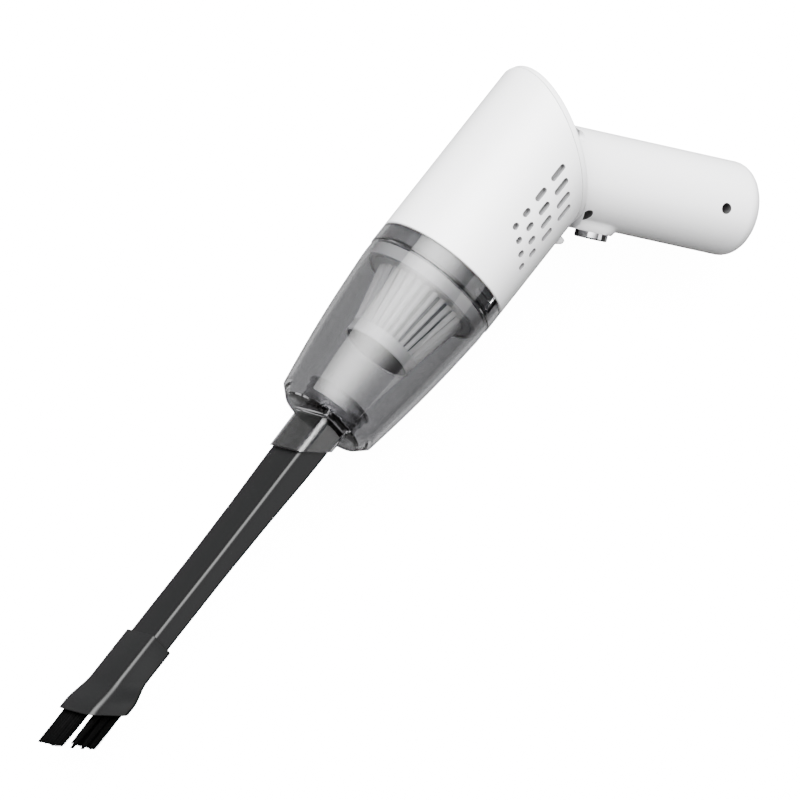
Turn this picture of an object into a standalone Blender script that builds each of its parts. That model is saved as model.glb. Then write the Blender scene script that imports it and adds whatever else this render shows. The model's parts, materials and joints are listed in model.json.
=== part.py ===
"""Handheld cordless vacuum with a swivelling handle, modelled as separate pieces.

The part lies on its side: +X runs along the body's axis to the nozzle, +Y is the side that the
handle turns to, and +Z is up, square to the symmetry plane. All sizes are in metres.
"""

import math

import bmesh
import bpy
from mathutils import Matrix, Vector

MM = 0.001

# Clearances
GAP = 0.3 * MM             # between pieces that touch
RUN = 0.5 * MM             # between pieces that move past each other

# Body
BODY_RADIUS = 32.5 * MM
BODY_WALL = 2.4 * MM
BODY_LENGTH = 72.4 * MM    # from the swivel's centre to the dust cup, along the axis
CUT_TILT = math.radians(30)  # between the body's axis and the swivel's axis

# Vents: four columns a side, and four rows that run with the cut
VENT_WIDTH = 2.2 * MM
VENT_ROWS = [(9.2 * MM, 18.6 * MM), (23.0 * MM, 30.4 * MM), (35.0 * MM, 39.7 * MM), (43.6 * MM, 47.2 * MM)]
VENT_COLUMNS = 4
VENT_FIRST_ANGLE = math.radians(-4.8)
VENT_ANGLE_STEP = math.radians(10.2)

# Handle
CAP_THICKNESS = 3.0 * MM
COVER_THICKNESS = 2.4 * MM
HANDLE_RADIUS = 21.4 * MM
HANDLE_WALL = 2.4 * MM
HANDLE_LENGTH = 107 * MM   # along its axis, from the swivel plane
HANDLE_OFFSET = 10 * MM    # of its axis from the swivel's centre, in the swivel plane
HANDLE_END_ROUND = 8 * MM
NECK_FILLET = 5 * MM
HUB_RADIUS = 7.0 * MM
HUB_BORE = 4.5 * MM
RETAINER_RADIUS = 12 * MM

# Handle screws: place along the handle, place towards the button, both on the handle's axes
SCREW_PLACES = [(18.6 * MM, 16.4 * MM), (7.5 * MM, -17.8 * MM), (86.0 * MM, 0.0)]
SCREW_HEAD_RADIUS = 2.2 * MM
SCREW_HEAD_HEIGHT = 1.8 * MM
SCREW_SHANK_RADIUS = 1.0 * MM
SCREW_SEAT = 5.5 * MM      # height of the head's seat above the parting plane
SCREW_DEPTH = 5.5 * MM     # reach past the parting plane
SCREW_BOSS_RADIUS = 3.3 * MM
SCREW_HOLE_RADIUS = 2.55 * MM

# Power button
BUTTON_RADIUS = 7.5 * MM
BUTTON_STATION = 32.4 * MM
BUTTON_HEIGHT = 3.2 * MM   # above its boss
BUTTON_TRAVEL = 1.2 * MM
BUTTON_BOSS_RADIUS = 10.2 * MM
BUTTON_BOSS_HEIGHT = 2.0 * MM

# Battery and electronics, in the handle
CELL_RADIUS = 9.1 * MM
CELL_LENGTH = 65 * MM
CELL_STATION = 14 * MM
BOARD_THICKNESS = 1.2 * MM

# Swivel latch
LATCH_LENGTH = 4.2 * MM
LATCH_WIDTH = 10 * MM
LATCH_HEIGHT = 5.5 * MM
LATCH_TRAVEL = 2.5 * MM

# Leads, which meet in the middle of the swivel's hub
LEAD_RADIUS = 1.5 * MM
LEAD_MEETING = -1.5 * MM   # along the swivel's axis

# Motor and fan, in the body
MOTOR_RADIUS = 17.5 * MM
MOTOR_LENGTH = 24 * MM
MOTOR_STATION = 20 * MM    # of its rear end
SHAFT_RADIUS = 1.6 * MM
FAN_RADIUS = 22 * MM
FAN_LENGTH = 8 * MM
FAN_BLADES = 9

# Dust cup
COLLAR_LENGTH = 9.6 * MM
BAND_LENGTH = 6.4 * MM
CUP_LENGTH = 85.1 * MM     # from the body to the front rim
CUP_WALL = 2.0 * MM
CUP_FRONT_RADIUS = 24.3 * MM
CUP_CHAMFER = 4.6 * MM
TRACK_DEPTH = 1.1 * MM
TRACK_WIDTH = 3.4 * MM
TRACK_TURN = math.radians(20)
LUG_LENGTH = 2.6 * MM

# Filter
FILTER_LENGTH = 33 * MM
FILTER_REAR_RADIUS = 23.2 * MM
FILTER_FRONT_RADIUS = 17.0 * MM
FILTER_CAP_DEPTH = 6.0 * MM
PLEATS = 30
PLEAT_DEPTH = 2.6 * MM
PLEAT_THICKNESS = 0.7 * MM

# Nozzle: width is up and down (Z), height is along Y
SPOUT_LENGTH = 14.9 * MM   # along its middle
SPOUT_WIDTH = 26 * MM
SPOUT_HEIGHT = 15.4 * MM
SPOUT_WALL = 1.1 * MM
END_SLANT = 0.8            # rise over run of the slanting spout mouth and brush end
DUCT_LENGTH = 13.5 * MM
DUCT_RADIUS = 14.8 * MM
DUCT_WALL = 1.2 * MM
TOOL_LENGTH = 112.4 * MM   # from the spout's mouth to the brush sleeve
TOOL_PLUG = 16 * MM        # inside the spout
TOOL_TIP_WIDTH = 21.4 * MM
TOOL_TIP_HEIGHT = 10.2 * MM
TOOL_TAPER = [(0.10, 0.9), (0.2, 0.7), (0.34, 0.36), (0.48, 0.18), (0.64, 0.0)]
TOOL_WALL = 1.2 * MM
TOOL_CORNER = 1.8 * MM
SLEEVE_LENGTH = 41 * MM    # along its middle
SLEEVE_OVERLAP = 14 * MM
SLEEVE_WIDTH = 23.8 * MM
SLEEVE_HEIGHT = 13.0 * MM
SLEEVE_FLARE_START = 0.52  # of its length
SLEEVE_END_WIDTH = 27.6 * MM
SLEEVE_END_HEIGHT = 16.8 * MM
SLEEVE_WALL = 1.2 * MM
BRISTLE_LENGTH = 20 * MM
BRISTLE_THICKNESS = 3.6 * MM
BRISTLE_ROOT = 6 * MM      # inside the sleeve

FINE = 32                  # sides of a large round
COARSE = 20                # sides of a small round
SHELL = 36                 # sides of the outer shells


# ---------------------------------------------------------------- scene and helpers

def clear_scene():
    for item in list(bpy.data.objects):
        bpy.data.objects.remove(item, do_unlink=True)


def new_collection(name):
    collection = bpy.data.collections.new(name)
    bpy.context.scene.collection.children.link(collection)
    return collection


clear_scene()
PARTS = new_collection("handheld_vacuum")
CUTTERS = new_collection("cutters")


def material(name, color, roughness, metallic=0.0, alpha=1.0):
    made = bpy.data.materials.new(name)
    made.use_nodes = True
    shader = made.node_tree.nodes["Principled BSDF"]
    shader.inputs["Base Color"].default_value = (*color, 1.0)
    shader.inputs["Roughness"].default_value = roughness
    shader.inputs["Metallic"].default_value = metallic
    shader.inputs["Alpha"].default_value = alpha
    return made


WHITE = material("white_shell", (0.82, 0.82, 0.82), 0.35)
SMOKE = material("smoky_clear", (0.20, 0.20, 0.21), 0.08, 0.0, 0.45)
BLACK = material("black_nozzle", (0.02, 0.02, 0.022), 0.4)
BRISTLE = material("black_bristle", (0.012, 0.012, 0.012), 0.7)
CHROME = material("chrome", (0.75, 0.75, 0.77), 0.1, 1.0)
STEEL = material("steel", (0.45, 0.45, 0.46), 0.3, 1.0)
GREY = material("grey_plastic", (0.25, 0.25, 0.26), 0.5)
PALE = material("pale_plastic", (0.6, 0.6, 0.6), 0.4)
PAPER = material("filter_paper", (0.62, 0.62, 0.6), 0.9)
RUBBER = material("rubber", (0.03, 0.03, 0.03), 0.8)
FOAM = material("foam", (0.05, 0.05, 0.05), 1.0)
COPPER = material("copper_winding", (0.6, 0.27, 0.12), 0.3, 1.0)
BOARD = material("circuit_board", (0.02, 0.16, 0.07), 0.4)
CELL = material("cell_wrap", (0.06, 0.2, 0.42), 0.4)


def frame(name, parent, location, z_axis, x_axis):
    """An empty whose local Z and X point as given, in its parent's frame."""
    z_axis = Vector(z_axis).normalized()
    x_axis = Vector(x_axis).normalized()
    turn = Matrix((x_axis, z_axis.cross(x_axis), z_axis)).transposed()
    made = bpy.data.objects.new(name, None)
    PARTS.objects.link(made)
    made.parent = parent
    made.matrix_local = Matrix.Translation(location) @ turn.to_4x4()
    made.empty_display_size = 0.01
    return made


def place(name, mesh, parent, look=None):
    """A piece of the vacuum, or a cutter when it has no material."""
    made = bpy.data.objects.new(name, mesh)
    made.parent = parent
    if look is None:
        CUTTERS.objects.link(made)
        made.hide_render = True
        made.display_type = "WIRE"
    else:
        PARTS.objects.link(made)
        made.data.materials.append(look)
    return made


def mesh_from(name, shape):
    bmesh.ops.recalc_face_normals(shape, faces=shape.faces)
    mesh = bpy.data.meshes.new(name)
    shape.to_mesh(mesh)
    shape.free()
    return mesh


def turned(name, profile, parent, look=None, steps=FINE):
    """A shape turned about local Z. Profile points are (radius, height), down the outer side."""
    mesh = bpy.data.meshes.new(name)
    closed = min(radius for radius, _ in profile) > 0
    count = len(profile)
    edges = [(i, (i + 1) % count) for i in range(count if closed else count - 1)]
    mesh.from_pydata([(radius, 0.0, height) for radius, height in profile], edges, [])
    made = place(name, mesh, parent, look)
    screw = made.modifiers.new("turn", "SCREW")
    screw.steps = steps
    screw.render_steps = steps
    screw.use_merge_vertices = True
    screw.merge_threshold = 1e-6
    screw.use_smooth_shade = True
    return made


def rod(name, radius, low, high, parent, look=None, steps=COARSE):
    return turned(name, [(0, high), (radius, high), (radius, low), (0, low)], parent, look, steps)


def ring(name, outer, inner, low, high, parent, look=None, steps=FINE):
    profile = [(outer, high), (outer, low), (inner, low), (inner, high)]
    return turned(name, profile, parent, look, steps)


def block(name, low, high, parent, look=None, rounding=0.0):
    """A box between two corners of its parent's frame."""
    shape = bmesh.new()
    bmesh.ops.create_cube(shape, size=1.0)
    low, high = Vector(low), Vector(high)
    bmesh.ops.scale(shape, vec=high - low, verts=shape.verts)
    bmesh.ops.translate(shape, vec=(low + high) / 2, verts=shape.verts)
    made = place(name, mesh_from(name, shape), parent, look)
    if rounding:
        bevel = made.modifiers.new("edges", "BEVEL")
        bevel.width = rounding
        bevel.segments = 2
    return made


def change(piece, operation, cutter):
    step = piece.modifiers.new(cutter.name, "BOOLEAN")
    step.operation = operation
    step.object = cutter
    return piece


def cut(piece, *cutters):
    for cutter in cutters:
        change(piece, "DIFFERENCE", cutter)
    return piece


def join(piece, *others):
    for other in others:
        change(piece, "UNION", other)
    return piece


def rounded_loop(height, width, radius, station, corner=4):
    """Points of a rounded rectangle across the nozzle: height on local X, width on local Y."""
    radius = min(radius, height / 2 - 0.1 * MM, width / 2 - 0.1 * MM)
    points = []
    for quarter, (sx, sy) in enumerate([(1, 1), (-1, 1), (-1, -1), (1, -1)]):
        middle = (sx * (height / 2 - radius), sy * (width / 2 - radius))
        for i in range(corner):
            turn = (quarter + i / (corner - 1)) * math.pi / 2
            x = middle[0] + radius * math.cos(turn)
            y = middle[1] + radius * math.sin(turn)
            points.append((x, y, station))
    return points


def slanted(loop):
    """The loop leaned over, so that its -Y side stands further forward than its +Y side."""
    return [(across, wide, station - END_SLANT * across) for across, wide, station in loop]


def loft(name, loops, parent, look=None, hollow=False):
    """Skins loops that have equal counts of points. A hollow one closes on its first loop."""
    shape = bmesh.new()
    rows = [[shape.verts.new(point) for point in loop] for loop in loops]
    count = len(rows[0])
    pairs = list(zip(rows, rows[1:]))
    if hollow:
        pairs.append((rows[-1], rows[0]))
    for lower, upper in pairs:
        for i in range(count):
            k = (i + 1) % count
            shape.faces.new((lower[i], lower[k], upper[k], upper[i]))
    if not hollow:
        shape.faces.new(rows[0])
        shape.faces.new(rows[-1])
    return place(name, mesh_from(name, shape), parent, look)


def around(piece, angle):
    piece.rotation_euler.z = angle
    return piece


# ---------------------------------------------------------------- frames

ROOT = bpy.data.objects.new("vacuum_origin", None)
PARTS.objects.link(ROOT)
SWIVEL_NORMAL = Vector((-math.cos(CUT_TILT), math.sin(CUT_TILT), 0))
IN_CUT = Vector((math.sin(CUT_TILT), math.cos(CUT_TILT), 0))
HANDLE_ALONG = Vector((-math.cos(2 * CUT_TILT), math.sin(2 * CUT_TILT), 0))
BUTTON_WAY = Vector((math.sin(2 * CUT_TILT), math.cos(2 * CUT_TILT), 0))

BODY = frame("body_axis", ROOT, (0, 0, 0), (1, 0, 0), (0, 1, 0))
SWIVEL = frame("swivel_axis", ROOT, (0, 0, 0), SWIVEL_NORMAL, IN_CUT)


def in_swivel(direction):
    return Vector((direction.dot(IN_CUT), 0, direction.dot(SWIVEL_NORMAL)))


HANDLE = frame("handle_axis", SWIVEL, (HANDLE_OFFSET, 0, 0), in_swivel(HANDLE_ALONG), in_swivel(BUTTON_WAY))
BUTTON = frame("button_axis", HANDLE, (0, 0, BUTTON_STATION), (1, 0, 0), (0, 0, 1))

CUP_START = BODY_LENGTH + GAP
CUP_RIM = BODY_LENGTH + CUP_LENGTH
CUP_FACE = CUP_RIM + CUP_CHAMFER
SPOUT_MOUTH = CUP_FACE + SPOUT_LENGTH
TOOL_END = SPOUT_MOUTH + TOOL_LENGTH
SLEEVE_END = TOOL_END + SLEEVE_LENGTH
BRISTLE_END = SLEEVE_END + BRISTLE_LENGTH
BODY_BORE = BODY_RADIUS - BODY_WALL
FAR = 200 * MM


def beyond_cut(name, depth):
    """Everything on the handle's side of a plane that lies depth inside the body."""
    return block(name, (-FAR, -FAR, -depth), (FAR, FAR, FAR), SWIVEL)


# ---------------------------------------------------------------- body

def vent_cutter():
    """One mesh of all the slots: both sides, rows that run with the cut."""
    shape = bmesh.new()
    for side in (1, -1):
        for column in range(VENT_COLUMNS):
            lean = VENT_FIRST_ANGLE + column * VENT_ANGLE_STEP
            start = BODY_RADIUS * math.tan(CUT_TILT) * math.sin(lean)
            for low, high in VENT_ROWS:
                slot = bmesh.ops.create_cone(
                    shape, segments=8, radius1=VENT_WIDTH / 2, radius2=VENT_WIDTH / 2,
                    depth=4 * BODY_WALL, cap_ends=True)["verts"]
                reach = (high - low - VENT_WIDTH) / 2
                for point in slot:
                    point.co.x += math.copysign(reach, point.co.x)
                bmesh.ops.translate(shape, vec=(0, 0, BODY_RADIUS), verts=slot)
                # The slot's length lies on local X, its way through the wall on Z.
                to_body = Matrix.Rotation(math.pi / 2, 4, "Y")
                turn = Matrix.Rotation(side * (math.pi / 2 - lean), 4, "Z")
                shift = Matrix.Translation((0, 0, start + (low + high) / 2))
                bmesh.ops.transform(shape, matrix=shift @ turn @ to_body, verts=slot)
    return place("vent_cutter", mesh_from("vent_cutter", shape), BODY)


def make_body():
    profile = [
        (BODY_RADIUS, BODY_LENGTH), (BODY_RADIUS, -1.2 * BODY_RADIUS),
        (BODY_BORE, -1.2 * BODY_RADIUS), (BODY_BORE, BODY_LENGTH)]
    shell = turned("body_shell", profile, BODY, WHITE, SHELL)
    slot_half = LATCH_WIDTH * 0.3 + GAP
    latch_at = latch_station()
    latch_slot = block(
        "latch_slot", (BODY_BORE - 2 * MM, -slot_half, latch_at - GAP),
        (BODY_RADIUS + 2 * MM, slot_half, latch_at + LATCH_LENGTH + LATCH_TRAVEL + GAP), BODY)
    cut(shell, beyond_cut("shell_end_plane", 0.0), vent_cutter(), latch_slot)

    cover = rod("rear_cover", BODY_BORE - GAP, -1.2 * BODY_RADIUS, BODY_LENGTH / 2, BODY, GREY, SHELL)
    cut(cover, beyond_cut("cover_top_plane", GAP))
    cover_low = block("cover_bottom", (-FAR, -FAR, -FAR), (FAR, FAR, -GAP - COVER_THICKNESS), SWIVEL)
    hub_hole = rod("cover_hub_hole", HUB_RADIUS + GAP, -FAR / 4, FAR / 4, SWIVEL)
    cut(cover, cover_low, hub_hole)

    foam_outer = BODY_BORE - GAP
    foam = ring("exhaust_foam", foam_outer, foam_outer - 2.2 * MM, -BODY_RADIUS, BRACKET_AT - GAP, BODY, FOAM, 32)
    foam_plane = beyond_cut("foam_end_plane", 2 * GAP + COVER_THICKNESS)
    foam_notch = block(
        "foam_notch", (0.5 * BODY_BORE, -slot_half - 2 * MM, 0),
        (BODY_RADIUS, slot_half + 2 * MM, latch_at + 4 * LATCH_LENGTH), BODY)
    cut(foam, foam_plane, foam_notch)


# ---------------------------------------------------------------- motor and fan

BRACKET_AT = MOTOR_STATION + MOTOR_LENGTH + 0.6 * MM
BRACKET_THICKNESS = 2.4 * MM
SHROUD_AT = BRACKET_AT + BRACKET_THICKNESS + GAP
SHROUD_WALL = 1.2 * MM
FAN_AT = SHROUD_AT + SHROUD_WALL + RUN
SHROUD_END = FAN_AT + FAN_LENGTH + RUN + SHROUD_WALL
BEARING_RADIUS = 4.0 * MM
BEARING_LENGTH = 3.0 * MM
CAN_WALL = 1.2 * MM
BULKHEAD_AT = SHROUD_END + GAP
BULKHEAD_WEB = 2.4 * MM


def ring_of_holes(name, count, circle, radius, low, high):
    shape = bmesh.new()
    for i in range(count):
        turn = Matrix.Rotation(2 * math.pi * i / count, 4, "Z")
        shift = Matrix.Translation((circle, 0, (low + high) / 2))
        bmesh.ops.create_cone(
            shape, segments=8, radius1=radius, radius2=radius, depth=high - low,
            cap_ends=True, matrix=turn @ shift)
    return place(name, mesh_from(name, shape), BODY)


def make_motor():
    low, high = MOTOR_STATION, MOTOR_STATION + MOTOR_LENGTH
    seat = BEARING_RADIUS + GAP
    can = [
        (MOTOR_RADIUS, high), (MOTOR_RADIUS, low), (seat, low), (seat, low + CAN_WALL),
        (MOTOR_RADIUS - CAN_WALL, low + CAN_WALL), (MOTOR_RADIUS - CAN_WALL, high - CAN_WALL),
        (seat, high - CAN_WALL), (seat, high)]
    turned("motor_can", can, BODY, STEEL, 24)
    winding_outer = MOTOR_RADIUS - CAN_WALL - GAP
    ring("stator_winding", winding_outer, winding_outer - 3.2 * MM, low + 4 * MM, high - 4 * MM, BODY, COPPER, 24)
    magnet_outer = winding_outer - 3.2 * MM - RUN
    shaft_bore = SHAFT_RADIUS + 0.3 * MM
    ring("rotor_magnet", magnet_outer, shaft_bore, low + 5 * MM, high - 5 * MM, BODY, GREY, COARSE)
    for name, start in (("bearing_rear", low), ("bearing_front", high - BEARING_LENGTH)):
        ring(name, BEARING_RADIUS, shaft_bore, start, start + BEARING_LENGTH, BODY, STEEL, COARSE)
    rod("motor_shaft", SHAFT_RADIUS, low - 2 * MM, FAN_AT + FAN_LENGTH, BODY, STEEL, 16)

    bracket = ring(
        "motor_bracket", BODY_BORE - GAP, BEARING_RADIUS + 1.5 * MM, BRACKET_AT,
        BRACKET_AT + BRACKET_THICKNESS, BODY, GREY, SHELL)
    cut(bracket, ring_of_holes(
        "bracket_vents", 8, (MOTOR_RADIUS + BODY_BORE) / 2 + 1 * MM, 3.2 * MM,
        BRACKET_AT - MM, BRACKET_AT + BRACKET_THICKNESS + MM))
    damper_outer = MOTOR_RADIUS + 2.2 * MM
    ring("motor_damper", damper_outer, MOTOR_RADIUS + GAP, high - 6 * MM, high, BODY, RUBBER, 24)

    shroud_outer = FAN_RADIUS + RUN + SHROUD_WALL
    shroud = [
        (shroud_outer, SHROUD_END), (shroud_outer, SHROUD_AT),
        (shroud_outer - SHROUD_WALL, SHROUD_AT),
        (shroud_outer - SHROUD_WALL, SHROUD_END - SHROUD_WALL),
        (0.42 * FAN_RADIUS, SHROUD_END - SHROUD_WALL), (0.42 * FAN_RADIUS, SHROUD_END)]
    turned("fan_shroud", shroud, BODY, GREY, 24)
    make_impeller(shaft_bore)


def make_impeller(shaft_bore):
    hub = 5 * MM
    plate = FAN_AT + 1.2 * MM
    top = FAN_AT + FAN_LENGTH - 0.3 * MM
    profile = [
        (hub, top), (hub + MM, plate), (FAN_RADIUS, plate), (FAN_RADIUS, FAN_AT),
        (shaft_bore, FAN_AT), (shaft_bore, top)]
    impeller = turned("impeller", profile, BODY, PALE, 27)
    shape = bmesh.new()
    for i in range(FAN_BLADES):
        blade = bmesh.ops.create_cube(shape, size=1.0)["verts"]
        length = FAN_RADIUS - hub - 0.4 * MM
        bmesh.ops.scale(shape, vec=(length, 1.1 * MM, FAN_LENGTH - 1.2 * MM), verts=blade)
        sweep = Matrix.Rotation(math.radians(-24), 4, "Z")
        shift = Matrix.Translation((hub - 0.6 * MM, 0, 0))
        inner = Matrix.Translation((length / 2, 0, FAN_AT + FAN_LENGTH / 2))
        turn = Matrix.Rotation(2 * math.pi * i / FAN_BLADES, 4, "Z")
        bmesh.ops.transform(shape, matrix=turn @ shift @ sweep @ inner, verts=blade)
    join(impeller, place("fan_blades", mesh_from("fan_blades", shape), BODY))


# ---------------------------------------------------------------- cup mount

SPIGOT_RADIUS = BODY_RADIUS - CUP_WALL - 2 * GAP
SPIGOT_WALL = 2.4 * MM
SPIGOT_END = BODY_LENGTH + COLLAR_LENGTH
LUG_AT = BODY_LENGTH + 5.2 * MM


def make_bulkhead():
    outer = BODY_BORE - GAP
    inner = SPIGOT_RADIUS - SPIGOT_WALL
    profile = [
        (SPIGOT_RADIUS, SPIGOT_END), (SPIGOT_RADIUS, BODY_LENGTH - 0.5 * MM),
        (outer, BODY_LENGTH - 0.5 * MM), (outer, BULKHEAD_AT),
        (4 * MM, BULKHEAD_AT), (4 * MM, BULKHEAD_AT + BULKHEAD_WEB),
        (inner, BULKHEAD_AT + BULKHEAD_WEB), (inner, SPIGOT_END)]
    bulkhead = turned("cup_mount", profile, BODY, GREY, SHELL)
    grille = ring_of_holes("grille_outer", 10, 18 * MM, 3.4 * MM, BULKHEAD_AT - MM, BULKHEAD_AT + 2 * BULKHEAD_WEB)
    grille_inner = ring_of_holes("grille_inner", 5, 9 * MM, 2.8 * MM, BULKHEAD_AT - MM, BULKHEAD_AT + 2 * BULKHEAD_WEB)
    cut(bulkhead, grille, grille_inner)
    for i in range(2):
        lug = block(
            f"bayonet_lug_{i}", (SPIGOT_RADIUS - MM, -LUG_LENGTH / 2, LUG_AT - LUG_LENGTH / 2),
            (SPIGOT_RADIUS + TRACK_DEPTH - GAP, LUG_LENGTH / 2, LUG_AT + LUG_LENGTH / 2), BODY)
        join(bulkhead, around(lug, LUG_ANGLE + math.pi * i))
    groove_at = SPIGOT_END - 2.4 * MM
    groove = ring("seal_groove", SPIGOT_RADIUS + MM, SPIGOT_RADIUS - 1.0 * MM, groove_at, groove_at + 1.6 * MM, BODY)
    cut(bulkhead, groove)
    ring(
        "cup_seal", SPIGOT_RADIUS + 0.2 * MM, SPIGOT_RADIUS - 0.8 * MM,
        groove_at + GAP, groove_at + 1.3 * MM, BODY, RUBBER, SHELL)


LUG_ANGLE = math.radians(62)


# ---------------------------------------------------------------- dust cup

def cup_profile():
    """Outer side, rim to collar: a barrel that tapers more towards the front."""
    outer = [(CUP_FRONT_RADIUS - CUP_CHAMFER, CUP_FACE), (CUP_FRONT_RADIUS, CUP_RIM)]
    taper_start = SPIGOT_END + BAND_LENGTH
    start_radius = BODY_RADIUS - 0.4 * MM
    steps = 6
    for i in range(1, steps + 1):
        way = i / steps
        bulge = 0.9 * MM * math.sin(math.pi * way)
        radius = CUP_FRONT_RADIUS + (start_radius - CUP_FRONT_RADIUS) * way + bulge
        outer.append((radius, CUP_RIM + (taper_start - CUP_RIM) * way))
    outer.append((start_radius, SPIGOT_END))
    outer.append((BODY_RADIUS, SPIGOT_END - 0.4 * MM))
    outer.append((BODY_RADIUS, CUP_START))
    return outer


def make_cup():
    outer = cup_profile()
    inner_collar = BODY_RADIUS - CUP_WALL
    inner = [(inner_collar, CUP_START), (inner_collar, SPIGOT_END - 0.4 * MM)]
    for radius, station in reversed(outer[1:-3]):
        inner.append((radius - CUP_WALL, station - (0.5 * CUP_WALL if station == CUP_RIM else 0)))
    inner.append((CUP_FRONT_RADIUS - CUP_CHAMFER - 0.4 * CUP_WALL, CUP_FACE - CUP_WALL))
    inner.append((0, CUP_FACE - CUP_WALL))
    cup = turned("dust_cup", [(0, CUP_FACE)] + outer + inner, BODY, SMOKE, SHELL)
    root = CUP_FACE - 0.6 * CUP_WALL
    spout = loft("spout_outer", [
        rounded_loop(SPOUT_HEIGHT + 0.8 * MM, SPOUT_WIDTH + 0.8 * MM, 3.6 * MM, root),
        slanted(rounded_loop(SPOUT_HEIGHT, SPOUT_WIDTH, 3.4 * MM, SPOUT_MOUTH))], BODY)
    bore_height, bore_width = SPOUT_HEIGHT - 2 * SPOUT_WALL, SPOUT_WIDTH - 2 * SPOUT_WALL
    bore = loft("spout_bore", [
        rounded_loop(bore_height, bore_width, TOOL_CORNER + GAP, CUP_FACE - 2 * CUP_WALL),
        rounded_loop(bore_height, bore_width, TOOL_CORNER + GAP, SPOUT_MOUTH + SPOUT_HEIGHT)], BODY)
    join(cup, spout)
    cut(cup, bore)
    for i in range(2):
        for cutter in track_cutters(f"bayonet_track_{i}"):
            cut(cup, around(cutter, LUG_ANGLE + math.pi * i))

    duct_top = CUP_FACE - CUP_WALL - GAP
    duct_low = CUP_FACE - DUCT_LENGTH
    flange = DUCT_RADIUS + 1.2 * MM
    profile = [
        (DUCT_RADIUS, duct_top), (DUCT_RADIUS, duct_low + 1.2 * MM), (flange, duct_low + 1.2 * MM),
        (flange, duct_low), (DUCT_RADIUS - DUCT_WALL, duct_low), (DUCT_RADIUS - DUCT_WALL, duct_top)]
    turned("inlet_duct", profile, BODY, SMOKE, 24)


def track_cutters(name):
    """The groove in the collar's inside: a way in from the rear edge, then a turn to lock."""
    low_radius = BODY_RADIUS - CUP_WALL - MM
    high_radius = BODY_RADIUS - CUP_WALL + TRACK_DEPTH
    half = TRACK_WIDTH / 2
    lead = half / low_radius
    way_in = block(name + "_in", (low_radius, -half, CUP_START - MM), (high_radius, half, LUG_AT + half), BODY)
    steps = 6
    loops = []
    for i in range(steps + 1):
        angle = (TRACK_TURN + lead) * i / steps
        corners = [(low_radius, -half), (high_radius, -half), (high_radius, half), (low_radius, half)]
        loops.append([
            (radius * math.cos(angle), radius * math.sin(angle), LUG_AT + rise * 0.98)
            for radius, rise in corners])
    return way_in, loft(name + "_turn", loops, BODY)


# ---------------------------------------------------------------- filter

def make_filter():
    collar_outer = SPIGOT_RADIUS - SPIGOT_WALL - GAP
    collar_inner = collar_outer - 1.8 * MM
    flange_low = SPIGOT_END + GAP
    flange_high = SPIGOT_END + BAND_LENGTH
    collar_low = BODY_LENGTH + 1.0 * MM
    flange_outer = BODY_RADIUS - 0.4 * MM - CUP_WALL - RUN
    front = BODY_LENGTH + COLLAR_LENGTH + BAND_LENGTH + FILTER_LENGTH
    cap_low = front - FILTER_CAP_DEPTH
    bore = FILTER_REAR_RADIUS - PLEAT_DEPTH - PLEAT_THICKNESS - GAP
    profile = [
        (flange_outer, flange_high), (flange_outer, flange_low), (collar_outer, flange_low),
        (collar_outer, collar_low), (collar_inner, collar_low), (collar_inner, flange_low),
        (bore - 1.5 * MM, flange_low), (bore - 1.5 * MM, flange_high)]
    filter_frame = turned("filter_frame", profile, BODY, PALE, FINE)

    floor = cap_low + 1.6 * MM
    lip = FILTER_FRONT_RADIUS - 1.6 * MM
    cap = turned("filter_cap_shape", [
        (0, floor), (lip, floor), (lip, front), (FILTER_FRONT_RADIUS, front),
        (FILTER_FRONT_RADIUS, cap_low), (0, cap_low)], BODY)
    join(filter_frame, cap)
    rib_rear = bore - 2.6 * MM
    rib_front = FILTER_FRONT_RADIUS - PLEAT_DEPTH - PLEAT_THICKNESS - 2.6 * MM
    shape = bmesh.new()
    low, high = flange_low + 1.5 * MM, cap_low + 0.8 * MM
    for i in range(4):
        rib = bmesh.ops.create_cube(shape, size=1.0)["verts"]
        length = math.hypot(high - low, rib_rear - rib_front)
        bmesh.ops.scale(shape, vec=(2.4 * MM, 2.0 * MM, length), verts=rib)
        tip = Matrix.Rotation(-math.atan2(rib_rear - rib_front, high - low), 4, "Y")
        shift = Matrix.Translation(((rib_rear + rib_front) / 2, 0, (low + high) / 2))
        turn = Matrix.Rotation(math.pi / 4 + math.pi / 2 * i, 4, "Z")
        bmesh.ops.transform(shape, matrix=turn @ shift @ tip, verts=rib)
    join(filter_frame, place("filter_ribs", mesh_from("filter_ribs", shape), BODY))

    pleat_low, pleat_high = flange_high + GAP, cap_low - GAP
    loft("filter_pleats", [
        pleat_loop(FILTER_REAR_RADIUS, pleat_low), pleat_loop(FILTER_FRONT_RADIUS, pleat_high),
        pleat_loop(FILTER_FRONT_RADIUS - PLEAT_THICKNESS, pleat_high),
        pleat_loop(FILTER_REAR_RADIUS - PLEAT_THICKNESS, pleat_low)], BODY, PAPER, hollow=True)
    seal_outer = collar_outer - 0.1 * MM
    ring("filter_seal", seal_outer, collar_inner, collar_low - 1.0 * MM, collar_low - GAP, BODY, RUBBER, 24)


def pleat_loop(radius, station):
    points = []
    for i in range(2 * PLEATS):
        angle = math.pi * i / PLEATS
        reach = radius - (i % 2) * PLEAT_DEPTH
        points.append((reach * math.cos(angle), reach * math.sin(angle), station))
    return points


# ---------------------------------------------------------------- nozzle pieces

def plug_size():
    """Width and height of the tool's plug, which fits the spout's bore."""
    return SPOUT_WIDTH - 2 * SPOUT_WALL - 2 * GAP, SPOUT_HEIGHT - 2 * SPOUT_WALL - 2 * GAP


def tool_size(way):
    """Width and height of the crevice tool's outside, for a 'way' of 1 at the plug and 0 at the tip."""
    plug_width, plug_height = plug_size()
    width = TOOL_TIP_WIDTH + (plug_width - TOOL_TIP_WIDTH) * way
    return width, TOOL_TIP_HEIGHT + (plug_height - TOOL_TIP_HEIGHT) * way


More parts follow.
